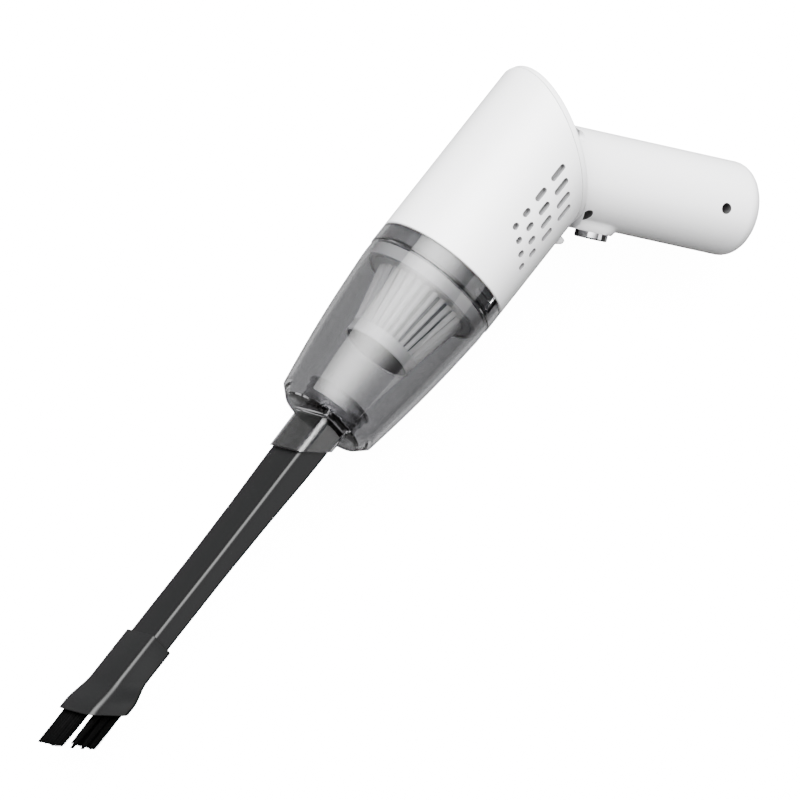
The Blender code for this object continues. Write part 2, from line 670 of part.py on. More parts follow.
def make_tool():
    """A plain tube: the plug is as wide as the spout's bore, and the tool narrows over its first half."""
    places = [(SPOUT_MOUTH - TOOL_PLUG, 1.0), (SPOUT_MOUTH, 1.0)]
    places += [(SPOUT_MOUTH + TOOL_LENGTH * share, way) for share, way in TOOL_TAPER]
    places.append((TOOL_END + SLEEVE_OVERLAP, 0.0))
    outer = []
    inner = []
    for station, way in places:
        width, height = tool_size(way)
        outer.append(rounded_loop(height, width, TOOL_CORNER, station))
        bore_height, bore_width = height - 2 * TOOL_WALL, width - 2 * TOOL_WALL
        inner.insert(0, rounded_loop(bore_height, bore_width, 0.5 * TOOL_CORNER, station))
    loft("crevice_tool", outer + inner, BODY, BLACK, hollow=True)


def make_brush():
    """The sleeve grips the tool's tip, then flares and ends on a slant, as its bristles do."""
    wall = SLEEVE_WALL
    flare = TOOL_END + SLEEVE_FLARE_START * SLEEVE_LENGTH
    seat = TOOL_END + SLEEVE_OVERLAP + RUN
    fit_width, fit_height = TOOL_TIP_WIDTH + 2 * GAP, TOOL_TIP_HEIGHT + 2 * GAP
    throat_width, throat_height = fit_width - 3 * MM, fit_height - 2 * MM
    root = SLEEVE_END - BRISTLE_ROOT
    corner = 2 * MM
    outer = [
        rounded_loop(SLEEVE_HEIGHT, SLEEVE_WIDTH, corner, TOOL_END),
        slanted(rounded_loop(SLEEVE_HEIGHT, SLEEVE_WIDTH, corner, flare)),
        slanted(rounded_loop(SLEEVE_END_HEIGHT, SLEEVE_END_WIDTH, 1.5 * corner, SLEEVE_END))]
    pocket_height, pocket_width = SLEEVE_END_HEIGHT - 2 * wall, SLEEVE_END_WIDTH - 2 * wall
    root_height, root_width = pocket_height - MM, pocket_width - MM
    inner = [
        slanted(rounded_loop(pocket_height, pocket_width, corner, SLEEVE_END)),
        slanted(rounded_loop(root_height, root_width, corner, root)),
        slanted(rounded_loop(throat_height, throat_width, 0.5 * corner, root)),
        rounded_loop(throat_height, throat_width, 0.5 * corner, seat),
        rounded_loop(fit_height, fit_width, 0.6 * corner, seat),
        rounded_loop(fit_height, fit_width, 0.6 * corner, TOOL_END)]
    loft("brush_sleeve", outer + inner, BODY, BLACK, hollow=True)
    tuft_height, tuft_width = root_height - 2 * GAP, root_width - 2 * GAP
    thick = 2 * BRISTLE_THICKNESS
    hole_height, hole_width = tuft_height - thick, tuft_width - thick
    low, high = root + GAP, BRISTLE_END
    loft("brush_bristles", [
        slanted(rounded_loop(tuft_height, tuft_width, corner, low)),
        slanted(rounded_loop(tuft_height, tuft_width, corner, high)),
        slanted(rounded_loop(hole_height, hole_width, 0.5 * corner, high)),
        slanted(rounded_loop(hole_height, hole_width, 0.5 * corner, low))], BODY, BRISTLE, hollow=True)


# ---------------------------------------------------------------- handle

def ellipse(along, across, centre, station, count=FINE):
    points = []
    for i in range(count):
        angle = 2 * math.pi * i / count
        points.append((centre + along * math.cos(angle), across * math.sin(angle), station))
    return points


def cap_shape():
    """The oval plate that meets the body, with its outer edge rounded over."""
    low, high = GAP, GAP + CAP_THICKNESS
    long_half = BODY_RADIUS / math.cos(CUT_TILT)
    turn = 1.2 * MM
    return loft("cap_shape", [
        ellipse(long_half, BODY_RADIUS, 0, low),
        ellipse(long_half, BODY_RADIUS, 0, high - turn),
        ellipse(long_half - 0.3 * turn, BODY_RADIUS - 0.3 * turn, 0, high - 0.3 * turn),
        ellipse(long_half - turn, BODY_RADIUS - turn, 0, high)], SWIVEL)


def neck_shape():
    """The soft foot of the handle: ovals parallel to the cap that close in to the tube."""
    loops = []
    steps = 5
    slope = math.tan(CUT_TILT)
    for i in range(steps + 1):
        rise = NECK_FILLET * i / steps
        flare = NECK_FILLET - math.sqrt(NECK_FILLET ** 2 - (NECK_FILLET - rise) ** 2)
        if i == steps:
            flare = -0.4 * MM
        height = GAP + CAP_THICKNESS - 0.6 * MM + rise
        long_half = HANDLE_RADIUS / math.cos(CUT_TILT)
        loops.append(ellipse(
            long_half + 0.55 * flare, HANDLE_RADIUS + flare, HANDLE_OFFSET + slope * height, height))
    return loft("neck_shape", loops, SWIVEL)


def tube_profile(radius, end, rounding):
    steps = 5
    profile = [(0, end)]
    for i in range(steps + 1):
        angle = math.pi / 2 * (1 - i / steps)
        profile.append((
            radius - rounding + rounding * math.cos(angle),
            end - rounding + rounding * math.sin(angle)))
    return profile + [(radius, -HANDLE_RADIUS), (0, -HANDLE_RADIUS)]


def button_boss():
    """A round pad for the button that runs down to the cap."""
    reach = HANDLE_RADIUS + BUTTON_BOSS_HEIGHT
    boss = rod("button_boss", BUTTON_BOSS_RADIUS, 0.6 * HANDLE_RADIUS, reach, BUTTON, None, 32)
    web = block(
        "boss_web", (-BUTTON_STATION, -BUTTON_BOSS_RADIUS + 0.4 * MM, 0.7 * HANDLE_RADIUS),
        (0, BUTTON_BOSS_RADIUS - 0.4 * MM, reach - 0.05 * MM), BUTTON)
    return boss, web


def screw_bosses():
    shape = bmesh.new()
    for station, side in SCREW_PLACES:
        reach = math.sqrt(max((HANDLE_RADIUS - 0.8 * MM) ** 2 - side ** 2, (4 * MM) ** 2))
        height = 2 * reach
        turn = Matrix.Rotation(math.pi / 2, 4, "X")
        bmesh.ops.create_cone(
            shape, segments=12, radius1=SCREW_BOSS_RADIUS, radius2=SCREW_BOSS_RADIUS,
            depth=height, cap_ends=True, matrix=Matrix.Translation((side, 0, station)) @ turn)
    bosses = place("screw_bosses", mesh_from("screw_bosses", shape), HANDLE)
    envelope = turned(
        "boss_envelope", tube_profile(HANDLE_RADIUS - 0.5 * MM, HANDLE_LENGTH - MM, HANDLE_END_ROUND),
        HANDLE, None, 24)
    change(bosses, "INTERSECT", envelope)
    return bosses


def screw_hole(number, station, side):
    """A shank hole through both halves, and the head's recess from the upper side."""
    shank = SCREW_SHANK_RADIUS + GAP
    top = HANDLE_RADIUS + 6 * MM
    hole = turned(f"screw_hole_{number}", [
        (0, top), (SCREW_HOLE_RADIUS, top), (SCREW_HOLE_RADIUS, SCREW_SEAT), (shank, SCREW_SEAT),
        (shank, -SCREW_DEPTH - MM), (0, -SCREW_DEPTH - MM)], HANDLE, None, 14)
    return upright(hole, station, side)


def upright(piece, station, side):
    """Stands a turned piece across the handle, with its local Z pointing up."""
    piece.location = (side, 0, station)
    piece.rotation_euler.x = math.pi / 2
    return piece


def make_handle_shells():
    cavity_radius = HANDLE_RADIUS - HANDLE_WALL
    cavity_end = HANDLE_LENGTH - HANDLE_WALL
    cap, neck, bosses = cap_shape(), neck_shape(), screw_bosses()
    holes = [screw_hole(i, *where) for i, where in enumerate(SCREW_PLACES, 1)]
    boss, web = button_boss()
    below = block("below_cap", (-FAR, -FAR, -FAR), (FAR, FAR, GAP), SWIVEL)
    cavity = turned(
        "handle_cavity", tube_profile(cavity_radius, cavity_end, HANDLE_END_ROUND - HANDLE_WALL),
        HANDLE, None, 40)
    cap_floor = block("cavity_floor", (-FAR, -FAR, -FAR), (FAR, FAR, GAP + CAP_THICKNESS), SWIVEL)
    cut(cavity, cap_floor)
    hub_hole = rod("cap_hub_hole", HUB_RADIUS + GAP, -FAR / 4, FAR / 8, SWIVEL)
    button_hole = rod("button_hole", BUTTON_RADIUS + GAP, 0.5 * HANDLE_RADIUS, 2 * HANDLE_RADIUS, BUTTON, None, 28)
    button_seat = rod(
        "button_seat", BUTTON_RADIUS + 1.6 * MM, 0.5 * HANDLE_RADIUS,
        HANDLE_RADIUS + BUTTON_BOSS_HEIGHT - 2.0 * MM, BUTTON, None, 28)
    port_half_width, port_half_height = 4.7 * MM, 1.8 * MM
    port_hole = block(
        "port_hole", (-port_half_height, -port_half_width, HANDLE_LENGTH - 4 * HANDLE_WALL),
        (port_half_height, port_half_width, HANDLE_LENGTH + MM), HANDLE, None, 1.2 * MM)
    for name, keep in (("handle_shell_upper", -1), ("handle_shell_lower", 1)):
        shell = turned(name, tube_profile(HANDLE_RADIUS, HANDLE_LENGTH, HANDLE_END_ROUND), HANDLE, WHITE, SHELL)
        join(shell, cap, neck, boss, web)
        cut(shell, cavity)
        join(shell, bosses)
        cut(shell, below, hub_hole, button_seat, button_hole, port_hole, *holes)
        near, far = -keep * FAR, keep * GAP / 2
        other = block(
            name + "_trim", (-FAR, min(near, far), -FAR), (FAR, max(near, far), FAR), HANDLE)
        cut(shell, other)
        for step in shell.modifiers:
            if step.type == "BOOLEAN":
                step.solver = "MANIFOLD"


def make_handle_insides():
    for i, (station, side) in enumerate(SCREW_PLACES):
        head = SCREW_SEAT + SCREW_HEAD_HEIGHT
        screw = turned(f"handle_screw_{i + 1}", [
            (0, head), (SCREW_HEAD_RADIUS, head), (SCREW_HEAD_RADIUS, SCREW_SEAT + GAP),
            (SCREW_SHANK_RADIUS, SCREW_SEAT + GAP), (SCREW_SHANK_RADIUS, -SCREW_DEPTH),
            (0, -SCREW_DEPTH)], HANDLE, STEEL, 12)
        upright(screw, station, side)

    low, high = GAP + CAP_THICKNESS + GAP, GAP + CAP_THICKNESS + 2.0 * MM
    bottom = -GAP - COVER_THICKNESS
    retainer_low = bottom - GAP - 2.0 * MM
    turned("swivel_hub", [
        (HUB_RADIUS + 1.5 * MM, high), (HUB_RADIUS + 1.5 * MM, low), (HUB_RADIUS, low),
        (HUB_RADIUS, bottom - GAP), (HUB_RADIUS - 1.2 * MM, bottom - GAP),
        (HUB_RADIUS - 1.2 * MM, retainer_low - 0.4 * MM), (HUB_BORE, retainer_low - 0.4 * MM),
        (HUB_BORE, high)], SWIVEL, STEEL, COARSE)
    ring(
        "swivel_retainer", RETAINER_RADIUS, HUB_RADIUS - 1.2 * MM + GAP, retainer_low,
        bottom - 2 * GAP, SWIVEL, STEEL, COARSE)

    for i, side in enumerate((-1, 1)):
        cell = rod(
            f"battery_cell_{i + 1}", CELL_RADIUS, CELL_STATION, CELL_STATION + CELL_LENGTH, HANDLE, CELL, 24)
        cell.location.y = side * (CELL_RADIUS + 0.2 * MM)
    holder_low = CELL_STATION + CELL_LENGTH + GAP
    board_at = CELL_RADIUS + 1.2 * MM
    holder = block(
        "battery_holder", (-CELL_RADIUS, -13 * MM, holder_low), (CELL_RADIUS, 13 * MM, holder_low + 2 * MM),
        HANDLE, GREY)
    spine = block(
        "holder_spine", (-CELL_RADIUS - 1.6 * MM, -6 * MM, CELL_STATION + 4 * MM),
        (-CELL_RADIUS - 0.4 * MM, 6 * MM, holder_low + MM), HANDLE)
    foot = block(
        "holder_foot", (-CELL_RADIUS - 1.6 * MM, -6 * MM, holder_low + 0.2 * MM),
        (-CELL_RADIUS + MM, 6 * MM, holder_low + 1.8 * MM), HANDLE)
    join(holder, spine, foot)
    block(
        "circuit_board", (board_at, -8 * MM, BUTTON_STATION - 12 * MM),
        (board_at + BOARD_THICKNESS, 8 * MM, BUTTON_STATION + 40 * MM), HANDLE, BOARD)
    switch_low = board_at + BOARD_THICKNESS + GAP
    rod("power_switch", 3.0 * MM, switch_low, switch_low + 2.0 * MM, BUTTON, GREY, 20)
    block(
        "charging_port", (-1.5 * MM, -4.4 * MM, HANDLE_LENGTH - 8.2 * MM),
        (1.5 * MM, 4.4 * MM, HANDLE_LENGTH - 0.8 * MM), HANDLE, STEEL, 0.9 * MM)
    port_bore = block(
        "port_bore", (-1.1 * MM, -4.0 * MM, HANDLE_LENGTH - 6 * MM),
        (1.1 * MM, 4.0 * MM, HANDLE_LENGTH + MM), HANDLE, None, 0.6 * MM)
    cut(bpy.data.objects["charging_port"], port_bore)
    make_button(switch_low + 2.0 * MM)


def make_button(switch_top):
    top = HANDLE_RADIUS + BUTTON_BOSS_HEIGHT + BUTTON_HEIGHT
    seat = HANDLE_RADIUS + BUTTON_BOSS_HEIGHT - 2.0 * MM
    flange_high = seat - GAP
    flange_low = flange_high - 1.0 * MM
    plunger = switch_top + BUTTON_TRAVEL + GAP
    edge = 0.7 * MM
    turned("power_button", [
        (0, top - 0.8 * MM), (BUTTON_RADIUS - 1.8 * MM, top - 0.8 * MM), (BUTTON_RADIUS - 1.4 * MM, top),
        (BUTTON_RADIUS - edge, top), (BUTTON_RADIUS, top - edge),
        (BUTTON_RADIUS, flange_high), (BUTTON_RADIUS + 1.2 * MM, flange_high),
        (BUTTON_RADIUS + 1.2 * MM, flange_low), (2.0 * MM, flange_low), (2.0 * MM, plunger), (0, plunger)],
        BUTTON, CHROME, 24)


# ---------------------------------------------------------------- swivel latch

def latch_station():
    """The body's station of the latch's rear edge, clear of the cap at the top of the tab."""
    return (BODY_RADIUS + LATCH_HEIGHT) * math.tan(CUT_TILT) + GAP


def make_latch():
    low = latch_station()
    tab = loft("swivel_latch", [
        rounded_loop_at(BODY_RADIUS + GAP, LATCH_HEIGHT - GAP, LATCH_WIDTH, low),
        rounded_loop_at(BODY_RADIUS + GAP, LATCH_HEIGHT - GAP, LATCH_WIDTH, low + 0.55 * LATCH_LENGTH),
        rounded_loop_at(BODY_RADIUS + GAP, 0.55 * LATCH_HEIGHT, LATCH_WIDTH, low + LATCH_LENGTH)],
        BODY, WHITE)
    half = LATCH_WIDTH * 0.3
    stem = block(
        "latch_stem", (BODY_BORE - 3 * MM, -half, low + 0.3 * MM),
        (BODY_RADIUS + 0.5 * LATCH_HEIGHT, half, low + LATCH_LENGTH - 0.6 * MM), BODY)
    heel = block(
        "latch_heel", (BODY_BORE - 3 * MM, -half - 1.6 * MM, low + 0.3 * MM),
        (BODY_BORE - 1.0 * MM, half + 1.6 * MM, low + LATCH_LENGTH - 0.6 * MM), BODY)
    join(tab, stem, heel)


def rounded_loop_at(base, height, width, station):
    """A rounded rectangle that stands on the body's side at the given base radius."""
    points = rounded_loop(height, width, 1.4 * MM, station, 4)
    return [(x + base + height / 2, y, z) for x, y, z in points]


# ---------------------------------------------------------------- leads

def lead(name, points, parent, look):
    """A soft wire: a smooth curve through a few points, read off as short straight runs."""
    points = [Vector(point) for point in points]
    ends = [points[0] * 2 - points[1]] + points + [points[-1] * 2 - points[-2]]
    path = []
    steps = 4
    for before, first, second, after in zip(ends, ends[1:], ends[2:], ends[3:]):
        for i in range(steps):
            way = i / steps
            pull = (second - before) * way + (2 * before - 5 * first + 4 * second - after) * way ** 2
            path.append(first + 0.5 * (pull + (3 * first - before - 3 * second + after) * way ** 3))
    path.append(points[-1])
    curve = bpy.data.curves.new(name, "CURVE")
    curve.dimensions = "3D"
    curve.bevel_depth = LEAD_RADIUS
    curve.bevel_resolution = 1
    curve.use_fill_caps = True
    spline = curve.splines.new("POLY")
    spline.points.add(len(path) - 1)
    for knot, point in zip(spline.points, path):
        knot.co = (*point, 1.0)
    return place(name, curve, parent, look)


def in_swivel_plane(station, side):
    """A point given along the handle and towards the button, in the swivel's frame."""
    point = station * in_swivel(HANDLE_ALONG) + side * in_swivel(BUTTON_WAY)
    return point + Vector((HANDLE_OFFSET, 0, 0))


def make_leads():
    board_end = in_swivel_plane(BUTTON_STATION - 12 * MM - 2 * GAP, CELL_RADIUS + 1.8 * MM)
    lead("handle_lead", [
        (0, 0, LEAD_MEETING + GAP / 2), (0.1 * MM, 0, 4.5 * MM), (3.5 * MM, 0, 8.0 * MM),
        (12 * MM, 0, 8.2 * MM), (22 * MM, 0, 8.8 * MM), board_end], SWIVEL, RUBBER)
    motor_end = (MOTOR_STATION - 2 * GAP) / math.cos(CUT_TILT)
    lead("motor_lead", [
        (0, 0, LEAD_MEETING - GAP / 2), (-0.1 * MM, 0, -8.0 * MM), (-3.2 * MM, 0, -13 * MM),
        (-3.2 * MM, 0, -motor_end + 1.9 * MM)], SWIVEL, RUBBER)


# ---------------------------------------------------------------- the whole vacuum

def settle_origin():
    """Moves the root so that the middle of the underside of the bounding box is the origin."""
    bpy.context.view_layer.update()
    graph = bpy.context.evaluated_depsgraph_get()
    low, high = Vector((1e9,) * 3), Vector((-1e9,) * 3)
    for piece in PARTS.objects:
        if piece.type not in ("MESH", "CURVE"):
            continue
        solid = piece.evaluated_get(graph)
        for corner in solid.to_mesh().vertices:
            point = solid.matrix_world @ corner.co
            low = Vector(map(min, low, point))
            high = Vector(map(max, high, point))
        solid.to_mesh_clear()
    ROOT.location = (-(low.x + high.x) / 2, -(low.y + high.y) / 2, -low.z)


make_body()
make_motor()
make_bulkhead()
make_cup()
make_filter()
make_tool()
make_brush()
make_handle_shells()
make_handle_insides()
make_latch()
make_leads()
settle_origin()
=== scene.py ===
# %% [markdown]
# # A cordless handheld vacuum, built piece by piece
# Each cell makes one piece of the vacuum as a mesh, in metres. The plain CAD model is loaded
# first: it fixes where everything sits and how it moves. Every visible piece is then rebuilt
# with the detail that a close look shows, and rides on the moving body it belongs to.

# %% Load the CAD model
import json
import math
import random

import bmesh
import bpy
from mathutils import Matrix, Vector

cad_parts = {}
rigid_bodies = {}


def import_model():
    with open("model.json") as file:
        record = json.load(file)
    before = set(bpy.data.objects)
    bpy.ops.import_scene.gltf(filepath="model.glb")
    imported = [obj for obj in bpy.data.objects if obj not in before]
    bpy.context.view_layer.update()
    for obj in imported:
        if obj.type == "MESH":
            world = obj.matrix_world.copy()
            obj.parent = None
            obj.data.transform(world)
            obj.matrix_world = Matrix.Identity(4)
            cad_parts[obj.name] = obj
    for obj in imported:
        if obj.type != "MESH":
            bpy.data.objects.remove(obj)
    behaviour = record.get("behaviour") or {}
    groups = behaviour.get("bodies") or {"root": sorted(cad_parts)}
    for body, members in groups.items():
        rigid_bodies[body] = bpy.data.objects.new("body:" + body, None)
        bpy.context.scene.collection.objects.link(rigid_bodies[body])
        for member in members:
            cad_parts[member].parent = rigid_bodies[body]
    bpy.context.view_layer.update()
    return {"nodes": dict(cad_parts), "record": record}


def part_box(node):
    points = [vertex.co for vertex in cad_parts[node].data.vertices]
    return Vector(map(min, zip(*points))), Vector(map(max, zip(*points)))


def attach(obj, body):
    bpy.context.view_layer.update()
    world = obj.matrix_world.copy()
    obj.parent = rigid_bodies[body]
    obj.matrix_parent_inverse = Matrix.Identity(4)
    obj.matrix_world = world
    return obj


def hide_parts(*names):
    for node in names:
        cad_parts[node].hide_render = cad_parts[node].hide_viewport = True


for leftover in list(bpy.data.objects):
    bpy.data.objects.remove(leftover, do_unlink=True)
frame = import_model()
MM = 0.001

# %% [markdown]
# ## Frames
# The body is a tube along +X. Its rear end is cut on a 30 degree slant, and the handle turns on
# that slant. So three sets of axes do for all: along the body, square to the slanted cut, and
# along the handle. Each local Z is the axis that a piece is turned or lofted about.

# %% Axes of the body, the swivel, the handle and the button
CUT_TILT = math.radians(30)
BODY_RADIUS = 32.5 * MM
BODY_LENGTH = 72.4 * MM
GAP = 0.3 * MM
cup_low, cup_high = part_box("dust_cup")
AXIS_Y = (cup_low.y + cup_high.y) / 2
AXIS_Z = (cup_low.z + cup_high.z) / 2
SWIVEL_CENTRE = Vector((cup_low.x - BODY_LENGTH - GAP, AXIS_Y, AXIS_Z))


def axes(origin, z_axis, x_axis):
    """A matrix whose Z and X columns are the given directions."""
    y_axis = z_axis.cross(x_axis)
    turn = Matrix((x_axis, y_axis, z_axis)).transposed().to_4x4()
    return Matrix.Translation(origin) @ turn


HANDLE_OFFSET = 10 * MM
BUTTON_STATION = 32.4 * MM
CUT_NORMAL = Vector((-math.cos(CUT_TILT), math.sin(CUT_TILT), 0))
IN_CUT = Vector((math.sin(CUT_TILT), math.cos(CUT_TILT), 0))
HANDLE_ALONG = Vector((-math.cos(2 * CUT_TILT), math.sin(2 * CUT_TILT), 0))
BUTTON_WAY = Vector((math.sin(2 * CUT_TILT), math.cos(2 * CUT_TILT), 0))
BODY = axes(SWIVEL_CENTRE, Vector((1, 0, 0)), Vector((0, 1, 0)))
SWIVEL = axes(SWIVEL_CENTRE, CUT_NORMAL, IN_CUT)
HANDLE = axes(SWIVEL_CENTRE + HANDLE_OFFSET * IN_CUT, HANDLE_ALONG, BUTTON_WAY)
BUTTON = axes(HANDLE @ Vector((0, 0, BUTTON_STATION)), BUTTON_WAY, HANDLE_ALONG)
print("swivel centre in mm:", [round(value / MM, 2) for value in SWIVEL_CENTRE])

# %% [markdown]
# ## Materials
# Moulded plastic is never perfectly even. A fine grain in the bump and a slow drift in the
# roughness keep the highlights from looking computed. All of it is made from noise on the
# object's own coordinates, so it needs no image and no unwrapping.

# %% Material maker
PLASTIC_IOR = 1.45
COAT_ROUGHNESS = 0.08
DRIFT_SCALE = 22.0
SHADE_DRIFT = 0.03
GRAIN_HEIGHT = 0.0002
RIM_BLEND = 0.3
LEAST_ROUGHNESS = 0.01


def finish_material(name, color, roughness, metallic=0.0, grain=900.0, depth=0.02, drift=0.05,
                    coat=0.0, specular=0.5, clear=0.0, rim=0.0):
    """A Principled material with a fine grain, and a slow drift of roughness and of shade.

    clear is the share of light let through. rim is the tone of a clear wall seen edge on.
    """
    look = bpy.data.materials.new(name)
    look.use_nodes = True
    nodes, links = look.node_tree.nodes, look.node_tree.links
    shader = nodes["Principled BSDF"]
    shader.inputs["Metallic"].default_value = metallic
    shader.inputs["Transmission Weight"].default_value = clear
    shader.inputs["Specular IOR Level"].default_value = specular
    shader.inputs["IOR"].default_value = PLASTIC_IOR
    shader.inputs["Coat Weight"].default_value = coat
    shader.inputs["Coat Roughness"].default_value = COAT_ROUGHNESS
    place = nodes.new("ShaderNodeTexCoord")
    slow = nodes.new("ShaderNodeTexNoise")
    slow.inputs["Scale"].default_value = DRIFT_SCALE
    slow.inputs["Detail"].default_value = 3.0
    fine = nodes.new("ShaderNodeTexNoise")
    fine.inputs["Scale"].default_value = grain
    fine.inputs["Detail"].default_value = 4.0
    links.new(place.outputs["Object"], slow.inputs["Vector"])
    links.new(place.outputs["Object"], fine.inputs["Vector"])
    spread = nodes.new("ShaderNodeMapRange")
    spread.inputs["To Min"].default_value = max(roughness - drift, LEAST_ROUGHNESS)
    spread.inputs["To Max"].default_value = roughness + drift
    links.new(slow.outputs["Fac"], spread.inputs["Value"])
    links.new(spread.outputs["Result"], shader.inputs["Roughness"])
    tint = nodes.new("ShaderNodeMix")
    tint.data_type = "RGBA"
    darker = [channel * (1 - SHADE_DRIFT) for channel in color]
    lighter = [min(channel * (1 + SHADE_DRIFT), 1) for channel in color]
    tint.inputs["A"].default_value = (*darker, 1)
    tint.inputs["B"].default_value = (*lighter, 1)
    links.new(slow.outputs["Fac"], tint.inputs["Factor"])
    if rim:
        glance = nodes.new("ShaderNodeLayerWeight")
        glance.inputs["Blend"].default_value = RIM_BLEND
        edge = nodes.new("ShaderNodeMix")
        edge.data_type = "RGBA"
        edge.inputs["B"].default_value = (rim, rim, rim, 1)
        links.new(glance.outputs["Facing"], edge.inputs["Factor"])
        links.new(tint.outputs["Result"], edge.inputs["A"])
        links.new(edge.outputs["Result"], shader.inputs["Base Color"])
    else:
        links.new(tint.outputs["Result"], shader.inputs["Base Color"])
    bump = nodes.new("ShaderNodeBump")
    bump.inputs["Strength"].default_value = depth
    bump.inputs["Distance"].default_value = GRAIN_HEIGHT
    links.new(fine.outputs["Fac"], bump.inputs["Height"])
    links.new(bump.outputs["Normal"], shader.inputs["Normal"])
    return look


LOOKS = {
    "white_shell": finish_material("white_shell", (0.80, 0.80, 0.81), 0.3, coat=0.25),
    "smoky_clear": finish_material(
        "smoky_clear", (0.44, 0.44, 0.45), 0.04, drift=0.02, depth=0.0, clear=1.0, rim=0.06),
    "black_nozzle": finish_material(
        "black_nozzle", (0.0035, 0.0035, 0.0037), 0.32, depth=0.1, specular=0.3),
    "black_bristle": finish_material(
        "black_bristle", (0.002, 0.002, 0.002), 0.5, depth=0.05, specular=0.06),
    "chrome": finish_material("chrome", (0.72, 0.72, 0.74), 0.1, 1.0, depth=0.0, drift=0.02),
    "steel": finish_material("steel", (0.4, 0.4, 0.41), 0.32, 1.0, grain=500.0, depth=0.08),
    "grey_plastic": finish_material("grey_plastic", (0.22, 0.22, 0.225), 0.45, depth=0.1),
    "dark_insert": finish_material("dark_insert", (0.04, 0.04, 0.042), 0.5, depth=0.1),
    # Painted shade: the dark grey of the faces in the pleats' valleys stands for the shadow there.
    "pleat_valley_painted_shade": finish_material("pleat_valley_painted_shade", (0.16, 0.16, 0.16), 0.9, grain=1600.0, depth=0.5),
    # Painted shade: the near black of the screw wells' walls stands for the shadow in those recesses.
    "well_wall_painted_shade": finish_material("well_wall_painted_shade", (0.05, 0.05, 0.05), 0.6),
    "rotor_steel": finish_material("rotor_steel", (0.12, 0.12, 0.125), 0.4, 1.0),
    "pale_plastic": finish_material("pale_plastic", (0.78, 0.78, 0.78), 0.4, depth=0.05),
    "filter_paper": finish_material("filter_paper", (0.82, 0.82, 0.81), 0.9, grain=1600.0, depth=0.5),
    "rubber": finish_material("rubber", (0.02, 0.02, 0.02), 0.7, depth=0.2),
    "foam": finish_material("foam", (0.16, 0.16, 0.16), 0.95, grain=700.0, depth=1.0),
    "copper_winding": finish_material("copper_winding", (0.55, 0.22, 0.09), 0.3, 1.0),
    "circuit_board": finish_material("circuit_board", (0.01, 0.12, 0.05), 0.4),
    "cell_wrap": finish_material("cell_wrap", (0.04, 0.14, 0.33), 0.35),
    # Painted shade: the mid grey of the slot walls stands for the shadow inside the slots.
    "slot_wall_painted_shade": finish_material("slot_wall_painted_shade", (0.22, 0.22, 0.225), 0.5),
}
for part in frame["record"]["subparts"]:
    slot_name = part["material_slot"]
    node = frame["nodes"][part["node"]]
    node.data.materials.clear()
    node.data.materials.append(LOOKS[slot_name])
print(len(LOOKS), "materials on", len(frame["nodes"]), "CAD nodes")

# %% [markdown]
# ## Modelling helpers
# Most pieces of a vacuum are turned or moulded along an axis. So a piece is either a profile
# spun about an axis, or a skin over loops that stand one behind the other. Both are built in
# local axes and then moved by one matrix, so the object itself stays at the origin.

# %% Turning, lofting and cutting
SHARP_ANGLE = math.radians(32)
WELD = 1e-6


def smooth_shading(mesh):
    for face in mesh.polygons:
        face.use_smooth = True
    mesh.set_sharp_from_angle(angle=SHARP_ANGLE)


def piece_from(name, shape, matrix, look):
    """Turns a bmesh into an object in world axes, at the origin."""
    bmesh.ops.transform(shape, matrix=matrix, verts=shape.verts)
    bmesh.ops.recalc_face_normals(shape, faces=shape.faces)
    mesh = bpy.data.meshes.new(name)
    shape.to_mesh(mesh)
    shape.free()
    smooth_shading(mesh)
    if look:
        mesh.materials.append(LOOKS[look])
    made = bpy.data.objects.new(name, mesh)
    bpy.context.scene.collection.objects.link(made)
    return made


def turned(name, profile, matrix, look=None, steps=128):
    """Spins (radius, height) points about local Z. A profile off the axis is closed first."""
    shape = bmesh.new()
    points = [shape.verts.new((radius, 0, height)) for radius, height in profile]
    edges = [shape.edges.new(pair) for pair in zip(points, points[1:])]
    if profile[0][0] > 0 or profile[-1][0] > 0:
        edges.append(shape.edges.new((points[-1], points[0])))
    bmesh.ops.spin(
        shape, geom=points + edges, cent=(0, 0, 0), axis=(0, 0, 1), dvec=(0, 0, 0),
        angle=2 * math.pi, steps=steps, use_merge=True)
    bmesh.ops.remove_doubles(shape, verts=shape.verts, dist=WELD)
    return piece_from(name, shape, matrix, look)


def skin(shape, loops, hollow=False):
    """Bridges loops of equal counts of points. A hollow skin joins its last loop to its first,
    and any other is closed at both ends."""
    rows = [[shape.verts.new(point) for point in loop] for loop in loops]
    count = len(rows[0])
    pairs = list(zip(rows, rows[1:]))
    if hollow:
        pairs.append((rows[-1], rows[0]))
    for lower, upper in pairs:
        for i in range(count):
            k = (i + 1) % count
            shape.faces.new((lower[i], lower[k], upper[k], upper[i]))
    if not hollow:
        shape.faces.new(rows[0])
        shape.faces.new(rows[-1])


def lofted(name, loops, matrix, look=None, hollow=False):
    shape = bmesh.new()
    skin(shape, loops, hollow)
    return piece_from(name, shape, matrix, look)


def rounded_loop(height, width, radius, station, corner=9):
    """Points of a rounded rectangle across local Z: height on X, width on Y."""
    radius = min(radius, height / 2 - 0.1 * MM, width / 2 - 0.1 * MM)
    points = []
    for quarter, (sx, sy) in enumerate([(1, 1), (-1, 1), (-1, -1), (1, -1)]):
        for i in range(corner):
            angle = (quarter + i / (corner - 1)) * math.pi / 2
            x = sx * (height / 2 - radius) + radius * math.cos(angle)
            y = sy * (width / 2 - radius) + radius * math.sin(angle)
            points.append((x, y, station))
    return points


END_SLANT = 0.8


def slanted(loop):
    """The loop leaned over, so that its -X side stands further forward."""
    return [(x, y, station - END_SLANT * x) for x, y, station in loop]


def box_piece(name, low, high, matrix, look=None):
    shape = bmesh.new()
    bmesh.ops.create_cube(shape, size=1)
    low, high = Vector(low), Vector(high)
    bmesh.ops.scale(shape, vec=high - low, verts=shape.verts)
    bmesh.ops.translate(shape, vec=(low + high) / 2, verts=shape.verts)
    return piece_from(name, shape, matrix, look)


